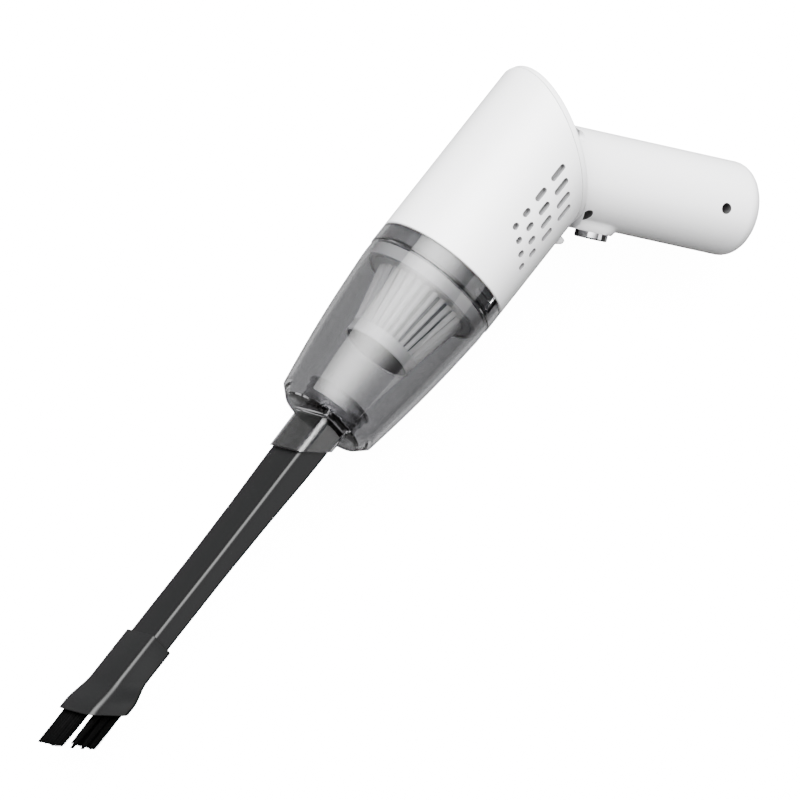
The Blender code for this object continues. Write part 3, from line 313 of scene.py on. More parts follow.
def carve(piece, *cutters, operation="DIFFERENCE", solver="EXACT"):
    """Runs Booleans with helper meshes, keeps the result and removes the helpers."""
    for cutter in cutters:
        step = piece.modifiers.new(cutter.name, "BOOLEAN")
        step.operation = operation
        step.object = cutter
        step.solver = solver
        # A helper that carries a material hands it to the faces it cuts; this paints the shade on the
        # slot and screw-well walls.
        if cutter.data.materials:
            step.material_mode = "TRANSFER"
    graph = bpy.context.evaluated_depsgraph_get()
    result = bpy.data.meshes.new_from_object(piece.evaluated_get(graph))
    piece.modifiers.clear()
    piece.data = result
    for cutter in cutters:
        bpy.data.objects.remove(cutter)
    smooth_shading(result)
    return piece


def soften(piece, width, angle=38):
    """A small rounded edge, which moulded parts always have, to catch the light."""
    edge = piece.modifiers.new("edge", "BEVEL")
    edge.width = width
    edge.segments = 2
    edge.limit_method = "ANGLE"
    edge.angle_limit = math.radians(angle)
    edge.harden_normals = True


def settle(piece, body, slot_name, *nodes):
    """Puts a finished piece on its moving body, in place of its CAD nodes."""
    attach(piece, body)
    if nodes:
        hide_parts(*nodes)
    print(f"{piece.name}: {len(piece.data.polygons)} faces on {body}")


# %% [markdown]
# ## Body tube
# The motor housing is one thin moulded tube. A mould for it would have a slide for the slots;
# here the tube is spun, its rear end is sliced off on the slant, and the slots are cut through.
# The slots come in four columns round each side. A column starts at its own distance from the
# slanted end, so the rows lie parallel to that end.

# %% Body tube with its exhaust slots
BODY_WALL = 2.4 * MM
BODY_BORE = BODY_RADIUS - BODY_WALL
VENT_WIDTH = 2.8 * MM
VENT_ROWS = [(9.2, 18.6), (23.0, 30.4), (35.0, 39.7), (43.6, 47.2)]
VENT_COLUMNS = 4
VENT_FIRST_ANGLE = math.radians(-4.8)
VENT_ANGLE_STEP = math.radians(10.2)
FAR = 200 * MM
lip = 0.35 * MM
tube_start = -1.2 * BODY_RADIUS
profile = [
    (BODY_RADIUS, tube_start), (BODY_RADIUS, BODY_LENGTH - lip), (BODY_RADIUS - lip, BODY_LENGTH),
    (BODY_BORE, BODY_LENGTH), (BODY_BORE, tube_start)]
body_tube = turned("body_tube", profile, BODY, "white_shell", steps=160)
beyond_cut = box_piece("beyond_cut", (-FAR, -FAR, 0), (FAR, FAR, FAR), SWIVEL)

shape = bmesh.new()
for side in (1, -1):
    for column in range(VENT_COLUMNS):
        lean = VENT_FIRST_ANGLE + column * VENT_ANGLE_STEP
        start = BODY_RADIUS * math.tan(CUT_TILT) * math.sin(lean)
        for low, high in VENT_ROWS:
            slot = bmesh.ops.create_cone(
                shape, segments=20, radius1=VENT_WIDTH / 2, radius2=VENT_WIDTH / 2,
                depth=4 * BODY_WALL, cap_ends=True)["verts"]
            reach = ((high - low) * MM - VENT_WIDTH) / 2
            for point in slot:
                if abs(point.co.x) > WELD:
                    point.co.x += math.copysign(reach, point.co.x)
            bmesh.ops.translate(shape, vec=(0, 0, BODY_RADIUS), verts=slot)
            to_body = Matrix.Rotation(math.pi / 2, 4, "Y")
            turn = Matrix.Rotation(side * (math.pi / 2 - lean), 4, "Z")
            shift = Matrix.Translation((0, 0, start + (low + high) / 2 * MM))
            bmesh.ops.transform(shape, matrix=shift @ turn @ to_body, verts=slot)
# The slot cutters carry a mid grey to the slot walls: painted shade for the shadow inside the slots.
slots = piece_from("slots", shape, BODY, "slot_wall_painted_shade")

LATCH_LENGTH = 4.2 * MM
LATCH_WIDTH = 10 * MM
LATCH_HEIGHT = 5.5 * MM
LATCH_TRAVEL = 2.5 * MM
LATCH_AT = (BODY_RADIUS + LATCH_HEIGHT) * math.tan(CUT_TILT) + GAP
STEM_HALF = LATCH_WIDTH * 0.3
slot_half = STEM_HALF + GAP
latch_slot = box_piece(
    "latch_slot", (BODY_BORE - 2 * MM, -slot_half, LATCH_AT - GAP),
    (BODY_RADIUS + 2 * MM, slot_half, LATCH_AT + LATCH_LENGTH + LATCH_TRAVEL + GAP), BODY)
carve(body_tube, beyond_cut, slots, latch_slot)
soften(body_tube, 0.22 * MM)
settle(body_tube, "body", "white_shell", "body_shell")

# %% [markdown]
# ## Handle
# The grip is a round tube that grows out of an oval plate lying on the body's slanted end. On
# the real one, both halves are moulded with the plate. One grid of points makes it all: ovals
# parallel to the plate near the foot, turning into circles square to the grip further along.
# The button's pad is raised from the same grid. It runs on to the plate, and a soft skirt ends
# it on its other sides.

# %% Handle surface
HANDLE_RADIUS = 21.4 * MM
HANDLE_WALL = 2.4 * MM
HANDLE_LENGTH = 107 * MM
HANDLE_END_ROUND = 8 * MM
CAP_THICKNESS = 3.0 * MM
NECK_FILLET = 5 * MM
PAD_RADIUS = 8.5 * MM
PAD_SKIRT = 2.5 * MM
PAD_HEIGHT = 2.0 * MM
AROUND = 176
IN_HANDLE = HANDLE.inverted() @ SWIVEL


def cap_oval(inset, height):
    """An oval on the plate, given in the handle's axes."""
    long_half = BODY_RADIUS / math.cos(CUT_TILT) - inset
    oval = []
    for i in range(AROUND):
        angle = 2 * math.pi * (i + 0.5) / AROUND
        across = (BODY_RADIUS - inset) * math.sin(angle)
        oval.append(IN_HANDLE @ Vector((long_half * math.cos(angle), across, height)))
    return oval


def grip_oval(flare, height):
    """The grip's section by a plane parallel to the plate, widened by flare."""
    long_half = HANDLE_RADIUS / math.cos(CUT_TILT) + 0.75 * flare
    centre = HANDLE_OFFSET + math.tan(CUT_TILT) * height
    oval = []
    for i in range(AROUND):
        angle = 2 * math.pi * (i + 0.5) / AROUND
        across = (HANDLE_RADIUS + flare) * math.sin(angle)
        oval.append(IN_HANDLE @ Vector((centre + long_half * math.cos(angle), across, height)))
    return oval


def grip_circle(radius, station):
    circle = []
    for i in range(AROUND):
        angle = 2 * math.pi * (i + 0.5) / AROUND
        circle.append(Vector((radius * math.cos(angle), radius * math.sin(angle), station)))
    return circle


def with_pad(point):
    """Raises a point of the grip to the button's pad, with a soft foot round it."""
    if point.x <= 0:
        return point
    away = math.hypot(max(point.z - BUTTON_STATION, 0), point.y)
    way = min(max((PAD_RADIUS + PAD_SKIRT - away) / PAD_SKIRT, 0), 1)
    way = way ** 2 * (3 - 2 * way)
    top = HANDLE_RADIUS + PAD_HEIGHT
    return Vector((point.x + (top - point.x) * way, point.y, point.z))


foot = GAP + CAP_THICKNESS
loops = [
    cap_oval(0, GAP), cap_oval(0, foot - 1.2 * MM), cap_oval(0.1 * MM, foot - 0.75 * MM),
    cap_oval(0.35 * MM, foot - 0.35 * MM), cap_oval(0.75 * MM, foot - 0.1 * MM),
    cap_oval(1.2 * MM, foot)]
plate_loops = len(loops)
fillet_steps = 10
for i in range(fillet_steps + 1):
    turn = math.pi / 2 * i / fillet_steps
    flare = NECK_FILLET * (1 - math.sin(turn))
    loops.append(grip_oval(flare, foot + NECK_FILLET * (1 - math.cos(turn))))
circle_start = 62 * MM
blend_steps = 46
oval = grip_oval(0, foot + NECK_FILLET)
circle = grip_circle(HANDLE_RADIUS, circle_start)
for i in range(1, blend_steps + 1):
    way = i / blend_steps
    loop = []
    for low, high in zip(oval, circle):
        angle_low, angle_high = math.atan2(low.y, low.x), math.atan2(high.y, high.x)
        drift = (angle_high - angle_low + math.pi) % (2 * math.pi) - math.pi
        angle = angle_low + drift * way
        station = low.z + (high.z - low.z) * way
        x, y = HANDLE_RADIUS * math.cos(angle), HANDLE_RADIUS * math.sin(angle)
        loop.append(Vector((x, y, station)))
    loops.append(loop)
grip_loops = [[with_pad(point) for point in loop] for loop in loops[plate_loops:]]
loops = loops[:plate_loops] + grip_loops
for station in (75 * MM, 88 * MM, HANDLE_LENGTH - HANDLE_END_ROUND):
    loops.append(grip_circle(HANDLE_RADIUS, station))
round_steps = 8
for i in range(1, round_steps + 1):
    turn = math.pi / 2 * i / round_steps
    loops.append(grip_circle(
        HANDLE_RADIUS - HANDLE_END_ROUND * (1 - math.cos(turn)),
        HANDLE_LENGTH - HANDLE_END_ROUND * (1 - math.sin(turn))))
loops.append(grip_circle(HANDLE_RADIUS - HANDLE_END_ROUND - 4 * MM, HANDLE_LENGTH))
print(len(loops), "loops of", AROUND, "points make the handle")

# %% [markdown]
# The two halves meet on the middle plane, with a hair of a gap. Each half starts as the whole
# closed skin: the hollow for the cells is taken out, posts for the screws are added, and the
# openings and the other half are cut away. Moulded halves have the same posts and wells.

# %% Handle halves
# Each screw: how far along the handle, how far to the side, and the painted shade of its well's
# wall (None leaves that wall white).
SCREW_PLACES = [
    (18.6 * MM, 16.4 * MM, "well_wall_painted_shade"), (7.5 * MM, -17.8 * MM, None),
    (86.0 * MM, 0.0, "well_wall_painted_shade")]
SCREW_HOLE_RADIUS = 2.55 * MM
SCREW_POST_RADIUS = 3.4 * MM
SCREW_SEAT = 5.5 * MM
SHANK_RADIUS = 1.3 * MM
SHANK_END = -6.5 * MM
WELL_TOP = 30 * MM
BUTTON_RADIUS = 7.5 * MM
HUB_RADIUS = 7.0 * MM
PORT_HEIGHT, PORT_WIDTH, PORT_CORNER = 3.6 * MM, 9.4 * MM, 1.2 * MM
PARTING = 0.12 * MM


def tube_profile(radius, end, rounding, steps=8):
    """A closed tube with a rounded end, from its tip to well behind the plate."""
    profile = [(0, end)]
    for i in range(steps + 1):
        turn = math.pi / 2 * (1 - i / steps)
        profile.append((
            radius - rounding + rounding * math.cos(turn), end - rounding + rounding * math.sin(turn)))
    return profile + [(radius, -HANDLE_RADIUS), (0, -HANDLE_RADIUS)]


def across(station, side):
    """Axes at a screw, square to the plane on which the halves meet."""
    return HANDLE @ Matrix.Translation((side, 0, station)) @ Matrix.Rotation(math.pi / 2, 4, "X")


def cylinder(name, radius, low, high, matrix, steps=48):
    return turned(name, [(0, low), (radius, low), (radius, high), (0, high)], matrix, steps=steps)


def handle_half(name, keep):
    """One half of the handle. keep is -1 for the upper side and 1 for the lower."""
    half = lofted(name, loops, HANDLE, "white_shell")
    hollow_outline = tube_profile(
        HANDLE_RADIUS - HANDLE_WALL, HANDLE_LENGTH - HANDLE_WALL, HANDLE_END_ROUND - HANDLE_WALL)
    hollow = turned("hollow", hollow_outline, HANDLE, steps=96)
    plate_side = box_piece("plate_side", (-FAR, -FAR, -FAR), (FAR, FAR, foot), SWIVEL)
    carve(hollow, plate_side, solver="MANIFOLD")
    carve(half, hollow, solver="MANIFOLD")
    for station, side, _ in SCREW_PLACES:
        place = across(station, side)
        post = cylinder("post", SCREW_POST_RADIUS, -HANDLE_RADIUS, HANDLE_RADIUS, place)
        post_limit = tube_profile(HANDLE_RADIUS - 0.5 * MM, HANDLE_LENGTH - MM, HANDLE_END_ROUND)
        inside = turned("inside", post_limit, HANDLE, steps=96)
        carve(post, inside, operation="INTERSECT", solver="MANIFOLD")
        carve(half, post, operation="UNION", solver="MANIFOLD")
    cut_from, cut_to = sorted((-keep * FAR, keep * PARTING))
    port_loops = [
        rounded_loop(PORT_HEIGHT, PORT_WIDTH, PORT_CORNER, station)
        for station in (HANDLE_LENGTH - 8 * MM, HANDLE_LENGTH + MM)]
    cutters = [
        cylinder(
            "button_hole", BUTTON_RADIUS + GAP, 0.5 * HANDLE_RADIUS, 2 * HANDLE_RADIUS, BUTTON, 64),
        cylinder("hub_hole", HUB_RADIUS + GAP, -20 * MM, 10 * MM, SWIVEL),
        lofted("port", port_loops, HANDLE),
        box_piece("other_half", (-FAR, cut_from, -FAR), (FAR, cut_to, FAR), HANDLE)]
    well = [
        (0, WELL_TOP), (SCREW_HOLE_RADIUS, WELL_TOP), (SCREW_HOLE_RADIUS, SCREW_SEAT),
        (SHANK_RADIUS, SCREW_SEAT), (SHANK_RADIUS, SHANK_END), (0, SHANK_END)]
    # Each well's wall takes its painted shade, or stays white where the look is None.
    for station, side, look in SCREW_PLACES:
        cutters.append(turned("well", well, across(station, side), look, 32))
    return carve(half, *cutters, solver="MANIFOLD")


upper = handle_half("handle_upper", -1)
lower = handle_half("handle_lower", 1)
settle(upper, "handle", "white_shell", "handle_shell_upper")
settle(lower, "handle", "white_shell", "handle_shell_lower")

# %% [markdown]
# ## Button
# A short chrome-plated cap, turned like a lathe part: straight side, small rounded rim, and a
# shallow dish on top that the thumb finds without looking.

# %% Chrome button
BUTTON_HEIGHT = 3.2 * MM
RIM_ROUND = 0.9 * MM
PLUNGER_RADIUS = 2 * MM
top = HANDLE_RADIUS + PAD_HEIGHT + BUTTON_HEIGHT
flange = HANDLE_RADIUS + PAD_HEIGHT - 2.0 * MM - GAP
flange_radius = BUTTON_RADIUS + 1.2 * MM
flange_under = flange - 1.0 * MM
plunger_end = flange - 5.8 * MM
rim = []
for i in range(9):
    turn = math.pi / 2 * i / 8
    rim.append((
        BUTTON_RADIUS - RIM_ROUND * (1 - math.sin(turn)), top - RIM_ROUND * (1 - math.cos(turn))))
dish = [
    (0, top - 0.75 * MM), (0.45 * BUTTON_RADIUS, top - 0.62 * MM),
    (0.66 * BUTTON_RADIUS, top - 0.4 * MM), (0.76 * BUTTON_RADIUS, top - 0.14 * MM),
    (0.82 * BUTTON_RADIUS, top - 0.02 * MM)]
button = turned("chrome_button", dish + rim + [
    (BUTTON_RADIUS, flange), (flange_radius, flange), (flange_radius, flange_under),
    (PLUNGER_RADIUS, flange_under), (PLUNGER_RADIUS, plunger_end), (0, plunger_end)],
    BUTTON, "chrome", 96)
settle(button, "button", "chrome", "power_button")

# %% [markdown]
# ## Latch
# The small tab beside the button holds the handle in its two positions. It is a moulded block
# with a sloping thumb face, skinned over five rounded loops, on a stem that runs in a slot.

# %% Latch tab


def tab_loop(height, inset, station):
    loop = rounded_loop(height, LATCH_WIDTH - 2 * inset, 1.4 * MM, station)
    return [(x + BODY_RADIUS + GAP + height / 2, y, z) for x, y, z in loop]


tall = LATCH_HEIGHT - GAP
tab = lofted("latch_tab", [
    tab_loop(tall - 0.4 * MM, 0.4 * MM, LATCH_AT), tab_loop(tall, 0, LATCH_AT + 0.4 * MM),
    tab_loop(tall, 0, LATCH_AT + 0.5 * LATCH_LENGTH),
    tab_loop(0.8 * tall, 0, LATCH_AT + 0.75 * LATCH_LENGTH),
    tab_loop(0.55 * tall, 0.3 * MM, LATCH_AT + LATCH_LENGTH)], BODY, "white_shell")
stem = box_piece(
    "stem", (BODY_BORE - 2.8 * MM, -STEM_HALF, LATCH_AT + 0.4 * MM),
    (BODY_RADIUS + 0.4 * LATCH_HEIGHT, STEM_HALF, LATCH_AT + LATCH_LENGTH - 0.7 * MM), BODY)
carve(tab, stem, operation="UNION")
settle(tab, "latch", "white_shell", "swivel_latch")

# %% [markdown]
# ## Dust cup
# The cup is one clear smoke-tinted moulding: a straight collar that pushes over the body's
# spigot, a barrel that tapers faster towards the front, a chamfered front and the nozzle
# socket. Spinning gives the barrel, and a Boolean joins the socket to it and opens its bore.

# %% Cup, socket and bayonet tracks
COLLAR_LENGTH = 9.6 * MM
BAND_LENGTH = 6.4 * MM
CUP_WALL = 2.0 * MM
CUP_FRONT_RADIUS = 24.3 * MM
CUP_CHAMFER = 4.6 * MM
BARREL_BULGE = 0.9 * MM
BARREL_RADIUS = BODY_RADIUS - 0.4 * MM
COLLAR_RADIUS = BODY_RADIUS - 0.02 * MM
CUP_INNER_RADIUS = BODY_RADIUS - CUP_WALL
CUP_START = BODY_LENGTH + GAP
CUP_RIM = BODY_LENGTH + 85.1 * MM
CUP_FACE = CUP_RIM + CUP_CHAMFER
SPIGOT_END = BODY_LENGTH + COLLAR_LENGTH
taper_start = SPIGOT_END + BAND_LENGTH
barrel = []
for i in range(25):
    way = i / 24
    radius = CUP_FRONT_RADIUS + (BARREL_RADIUS - CUP_FRONT_RADIUS) * way
    bulge = BARREL_BULGE * math.sin(math.pi * way)
    barrel.append((radius + bulge, CUP_RIM + (taper_start - CUP_RIM) * way))
chamfer_low = CUP_FRONT_RADIUS - CUP_CHAMFER
soft = 0.8 * MM
outside = [
    (0, CUP_FACE), (chamfer_low - soft, CUP_FACE), (chamfer_low + 0.3 * soft, CUP_FACE - 0.3 * soft),
    (CUP_FRONT_RADIUS - 0.5 * soft, CUP_RIM + 0.5 * soft)]
outside += barrel
outside += [
    (BARREL_RADIUS, SPIGOT_END), (COLLAR_RADIUS, SPIGOT_END - 0.4 * MM),
    (COLLAR_RADIUS, CUP_START + 0.3 * MM), (BODY_RADIUS - 0.3 * MM, CUP_START)]
inside = [(CUP_INNER_RADIUS, CUP_START), (CUP_INNER_RADIUS, SPIGOT_END - 0.4 * MM)]
inside += [(radius - CUP_WALL, station) for radius, station in reversed(barrel[1:])]
inside += [
    (CUP_FRONT_RADIUS - CUP_WALL, CUP_RIM - 0.5 * CUP_WALL),
    (chamfer_low - 0.4 * CUP_WALL, CUP_FACE - CUP_WALL), (0, CUP_FACE - CUP_WALL)]
cup = turned("smoky_cup", outside + inside, BODY, "smoky_clear", 144)

SPOUT_MOUTH = CUP_FACE + 14.9 * MM
SPOUT_WIDTH = 26 * MM
SPOUT_HEIGHT = 15.4 * MM
SPOUT_WALL = 1.1 * MM
TOOL_CORNER = 1.8 * MM
foot_steps = [
    (3.6 * MM, 5.0 * MM, -0.6 * CUP_WALL), (3.4 * MM, 4.9 * MM, 0), (1.8 * MM, 4.2 * MM, 0.5 * MM),
    (0.9 * MM, 3.8 * MM, 1.4 * MM), (0.6 * MM, 3.6 * MM, 2.6 * MM)]
spout_loops = [
    rounded_loop(SPOUT_HEIGHT + more, SPOUT_WIDTH + more, radius, CUP_FACE + rise)
    for more, radius, rise in foot_steps]
spout_loops.append(slanted(rounded_loop(SPOUT_HEIGHT, SPOUT_WIDTH, 3.4 * MM, SPOUT_MOUTH)))
spout = lofted("spout", spout_loops, BODY)
bore_height, bore_width = SPOUT_HEIGHT - 2 * SPOUT_WALL, SPOUT_WIDTH - 2 * SPOUT_WALL
bore = lofted("bore", [
    rounded_loop(bore_height, bore_width, TOOL_CORNER + GAP, CUP_FACE - 2 * CUP_WALL),
    rounded_loop(bore_height, bore_width, TOOL_CORNER + GAP, SPOUT_MOUTH + SPOUT_HEIGHT)], BODY)
carve(cup, spout, operation="UNION")

TRACK_WIDTH = 3.4 * MM
TRACK_TURN = math.radians(20)
LUG_AT = BODY_LENGTH + 5.2 * MM
LUG_ANGLE = math.radians(62)
track_low, track_high = CUP_INNER_RADIUS - MM, CUP_INNER_RADIUS + 1.1 * MM
track_corners = [(track_low, -0.49), (track_high, -0.49), (track_high, 0.49), (track_low, 0.49)]
tracks = []
for k in range(2):
    around = BODY @ Matrix.Rotation(LUG_ANGLE + math.pi * k, 4, "Z")
    tracks.append(box_piece(
        f"track_in_{k}", (track_low, -TRACK_WIDTH / 2, CUP_START - MM),
        (track_high, TRACK_WIDTH / 2, LUG_AT + TRACK_WIDTH / 2), around))
    arc = []
    for i in range(13):
        angle = (TRACK_TURN + TRACK_WIDTH / 2 / track_low) * i / 12
        arc.append([
            (radius * math.cos(angle), radius * math.sin(angle), LUG_AT + rise * TRACK_WIDTH)
            for radius, rise in track_corners])
    tracks.append(lofted(f"track_turn_{k}", arc, around))
carve(cup, bore, *tracks)
soften(cup, 0.25 * MM, 50)
settle(cup, "cup", "smoky_clear", "dust_cup")

# %% [markdown]
# Inside the front of the cup, a short round duct carries the dirt past the filter's face. It is
# a plain turned ring with a lip, of the same clear plastic.

# %% Inlet duct
DUCT_RADIUS = 14.8 * MM
DUCT_WALL = 1.2 * MM
duct_top = CUP_FACE - CUP_WALL - GAP
duct_low = CUP_FACE - 13.5 * MM
duct_lip = DUCT_RADIUS + 1.2 * MM
duct = turned("clear_duct", [
    (DUCT_RADIUS, duct_top), (DUCT_RADIUS, duct_low + 1.2 * MM), (duct_lip, duct_low + 1.0 * MM),
    (duct_lip, duct_low), (DUCT_RADIUS - DUCT_WALL, duct_low),
    (DUCT_RADIUS - DUCT_WALL, duct_top)], BODY, "smoky_clear", 96)
settle(duct, "cup", "smoky_clear", "inlet_duct")

# %% [markdown]
# ## Filter
# A cone of folded paper between a wide rear ring and a small front cap. Paper folds have soft
# creases, so each fold gets several points, eased between its crest and its valley. Little light
# reaches the valleys, so the faces that lie in them are painted a dark grey: painted shade. The
# front cap is a pale shallow dish, closed by a darker disc that stands almost flush with its lip.

# %% Filter frame
SPIGOT_RADIUS = BODY_RADIUS - CUP_WALL - 2 * GAP
FILTER_REAR_RADIUS = 23.2 * MM
FILTER_FRONT_RADIUS = 17.0 * MM
PLEATS = 30
PLEAT_DEPTH = 2.6 * MM
PLEAT_THICKNESS = 0.7 * MM
collar_outer = SPIGOT_RADIUS - 2.4 * MM - GAP
collar_inner = collar_outer - 1.8 * MM
flange_low, flange_high = SPIGOT_END + GAP, SPIGOT_END + BAND_LENGTH
collar_low = BODY_LENGTH + 1.0 * MM
flange_outer = BARREL_RADIUS - CUP_WALL - 0.5 * MM
groove_outer, groove_inner = flange_outer - 1.4 * MM, flange_outer - 3 * MM
groove_floor = flange_high - 0.8 * MM
front = taper_start + 33 * MM
cap_low = front - 6.0 * MM
filter_bore = FILTER_REAR_RADIUS - PLEAT_DEPTH - PLEAT_THICKNESS - GAP - 1.5 * MM
filter_ring = turned("filter_ring", [
    (flange_outer, flange_high), (flange_outer, flange_low), (collar_outer, flange_low),
    (collar_outer, collar_low), (collar_inner, collar_low), (collar_inner, flange_low),
    (filter_bore, flange_low), (filter_bore, flange_high), (groove_inner, flange_high),
    (groove_inner, groove_floor), (groove_outer, groove_floor), (groove_outer, flange_high)],
    BODY, "pale_plastic", 112)
soften(filter_ring, 0.2 * MM)
settle(filter_ring, "filter", "pale_plastic", "filter_frame")

cap_floor = front - 1.8 * MM
lip_radius = FILTER_FRONT_RADIUS - 0.9 * MM
filter_cap = turned("filter_cap", [
    (0, cap_floor), (lip_radius, cap_floor), (lip_radius, front - 0.3 * MM),
    (lip_radius + 0.3 * MM, front), (FILTER_FRONT_RADIUS - 0.4 * MM, front),
    (FILTER_FRONT_RADIUS, front - 0.4 * MM), (FILTER_FRONT_RADIUS, cap_low),
    (0, cap_low)], BODY, "pale_plastic", 96)
settle(filter_cap, "filter", "pale_plastic")
disc_top, disc_low = front - 0.4 * MM, cap_floor + 0.1 * MM
disc_radius = lip_radius - 0.1 * MM
filter_insert = turned("filter_insert", [
    (0, disc_top), (lip_radius - 0.5 * MM, disc_top), (disc_radius, front - 0.7 * MM),
    (disc_radius, disc_low), (0, disc_low)], BODY, "dark_insert", 96)
settle(filter_insert, "filter", "grey_plastic")

# %% Filter pleats
fold_points = 10
FOLD_EASE = 0.6
VALLEY_BELOW = -0.2


def fold_loop(radius, station):
    loop = []
    for i in range(PLEATS * fold_points):
        fold = i / fold_points
        wave = math.cos(2 * math.pi * fold)
        eased = math.copysign(abs(wave) ** FOLD_EASE, wave)
        reach = radius - PLEAT_DEPTH * (0.5 - 0.5 * eased)
        angle = 2 * math.pi * fold / PLEATS
        loop.append((reach * math.cos(angle), reach * math.sin(angle), station))
    return loop


pleat_low, pleat_high = flange_high + GAP, cap_low - GAP
outer_folds = []
inner_folds = []
for i in range(9):
    way = i / 8
    radius = FILTER_REAR_RADIUS + (FILTER_FRONT_RADIUS - FILTER_REAR_RADIUS) * way
    station = pleat_low + (pleat_high - pleat_low) * way
    outer_folds.append(fold_loop(radius, station))
    inner_folds.insert(0, fold_loop(radius - PLEAT_THICKNESS, station))
pleats = lofted("folded_paper", outer_folds + inner_folds, BODY, "filter_paper", hollow=True)
# Faces in the valleys take the darker material as painted shade; the crests keep the pale paper.
pleats.data.materials.append(LOOKS["pleat_valley_painted_shade"])
for face in pleats.data.polygons:
    angle = math.atan2(face.center.z - AXIS_Z, face.center.y - AXIS_Y)
    face.material_index = int(math.cos(PLEATS * angle) < VALLEY_BELOW)
settle(pleats, "filter", "filter_paper", "filter_pleats")

# %% [markdown]
# ## Crevice tool
# A flat black tube that fits the socket and narrows over its first half. Real ones are moulded
# round a tapered core, so the walls are even and the long corners are crisp: those corners are
# what draw the bright lines along it.

# %% Crevice tool
TOOL_LENGTH = 112.4 * MM
TOOL_END = SPOUT_MOUTH + TOOL_LENGTH
TOOL_PLUG = 16 * MM
TIP_WIDTH = 21.4 * MM
TIP_HEIGHT = 10.2 * MM
TOOL_WALL = 1.2 * MM
SLEEVE_OVERLAP = 14 * MM
plug_width, plug_height = bore_width - 2 * GAP, bore_height - 2 * GAP
TAPER = [
    (0.0, 1.0), (0.05, 0.97), (0.10, 0.9), (0.2, 0.7), (0.34, 0.36), (0.48, 0.18), (0.56, 0.07),
    (0.64, 0.0)]
outer_loops = []
inner_loops = []
places = [(SPOUT_MOUTH - TOOL_PLUG, 1.0)]
places += [(SPOUT_MOUTH + TOOL_LENGTH * share, way) for share, way in TAPER]
places.append((TOOL_END + SLEEVE_OVERLAP, 0.0))
for station, way in places:
    width = TIP_WIDTH + (plug_width - TIP_WIDTH) * way
    height = TIP_HEIGHT + (plug_height - TIP_HEIGHT) * way
    outer_loops.append(rounded_loop(height, width, TOOL_CORNER, station, 12))
    height, width = height - 2 * TOOL_WALL, width - 2 * TOOL_WALL
    inner_loops.insert(0, rounded_loop(height, width, 0.5 * TOOL_CORNER, station, 12))
tool = lofted("flat_tool", outer_loops + inner_loops, BODY, "black_nozzle", hollow=True)
settle(tool, "tool", "black_nozzle", "crevice_tool")

# %% [markdown]
# ## Brush sleeve
# The sleeve pushes over the tool's tip. It starts square to the tool, widens in a soft S over
# its second half, and ends on the same slant as the socket.

# %% Brush sleeve
SLEEVE_LENGTH = 41 * MM
SLEEVE_END = TOOL_END + SLEEVE_LENGTH
SLEEVE_WIDTH, SLEEVE_HEIGHT = 23.8 * MM, 13.0 * MM
END_WIDTH, END_HEIGHT = 27.6 * MM, 16.8 * MM
FLARE_START, FLARE_SHARE = 0.52, 0.82
corner = 2 * MM
flare_at = TOOL_END + FLARE_START * SLEEVE_LENGTH
root = SLEEVE_END - 6 * MM
fit_width, fit_height = TIP_WIDTH + 2 * GAP, TIP_HEIGHT + 2 * GAP
throat_width, throat_height = fit_width - 3 * MM, fit_height - 2 * MM
pocket_width, pocket_height = END_WIDTH - 2.4 * MM, END_HEIGHT - 2.4 * MM
root_width, root_height = pocket_width - MM, pocket_height - MM
seat = TOOL_END + SLEEVE_OVERLAP + 0.5 * MM
outer_loops = [
    rounded_loop(SLEEVE_HEIGHT - 0.6 * MM, SLEEVE_WIDTH - 0.6 * MM, corner, TOOL_END),
    rounded_loop(SLEEVE_HEIGHT - 0.15 * MM, SLEEVE_WIDTH - 0.15 * MM, corner, TOOL_END + 0.12 * MM),
    rounded_loop(SLEEVE_HEIGHT, SLEEVE_WIDTH, corner, TOOL_END + 0.35 * MM)]
flare_steps = 10
for i in range(flare_steps + 1):
    way = i / flare_steps
    share = min(way / FLARE_SHARE, 1)
    eased = share ** 2 * (3 - 2 * share)
    station = flare_at + (SLEEVE_END - 0.4 * MM - flare_at) * way
    outer_loops.append(slanted(rounded_loop(
        SLEEVE_HEIGHT + (END_HEIGHT - SLEEVE_HEIGHT) * eased,
        SLEEVE_WIDTH + (END_WIDTH - SLEEVE_WIDTH) * eased, corner + MM * way, station)))
outer_loops.append(slanted(rounded_loop(
    END_HEIGHT - 0.5 * MM, END_WIDTH - 0.5 * MM, corner + MM, SLEEVE_END)))
inner_loops = [
    slanted(rounded_loop(pocket_height, pocket_width, corner, SLEEVE_END)),
    slanted(rounded_loop(root_height, root_width, corner, root)),
    slanted(rounded_loop(throat_height, throat_width, 0.5 * corner, root)),
    rounded_loop(throat_height, throat_width, 0.5 * corner, seat),
    rounded_loop(fit_height, fit_width, 0.6 * corner, seat),
    rounded_loop(fit_height, fit_width, 0.6 * corner, TOOL_END)]
sleeve = lofted("flared_sleeve", outer_loops + inner_loops, BODY, "black_nozzle", hollow=True)
settle(sleeve, "brush", "black_nozzle", "brush_sleeve")

# %% [markdown]
# ## Bristles
# Nylon bristles are set in tufts round the mouth. Each strand is a thin three-sided spike with a
# length of its own. Each wide side carries one dense block of tufts. Each narrow side carries
# three that narrow towards their tips. A slit is left between block and tufts at two corners.

# %% Bristle tufts
BRISTLE_LENGTH = 20 * MM
STRAND_RADIUS = 0.15 * MM
POCKET_EDGE = 0.2 * MM
TIP_SPREAD_X, TIP_SPREAD_Y = 1.08, 1.05
BLOCK_TUFTS, BLOCK_RADIUS, BLOCK_STRANDS, BLOCK_GATHER = 8, 1.4 * MM, 80, 0.97
SIDE_TUFTS, SIDE_RADIUS, SIDE_STRANDS, SIDE_GATHER = 3, 1.8 * MM, 150, 0.36
SIDE_PITCH = 4.0 * MM
SLIT = 5.6 * MM
tuft_height, tuft_width = root_height - 2 * GAP, root_width - 2 * GAP


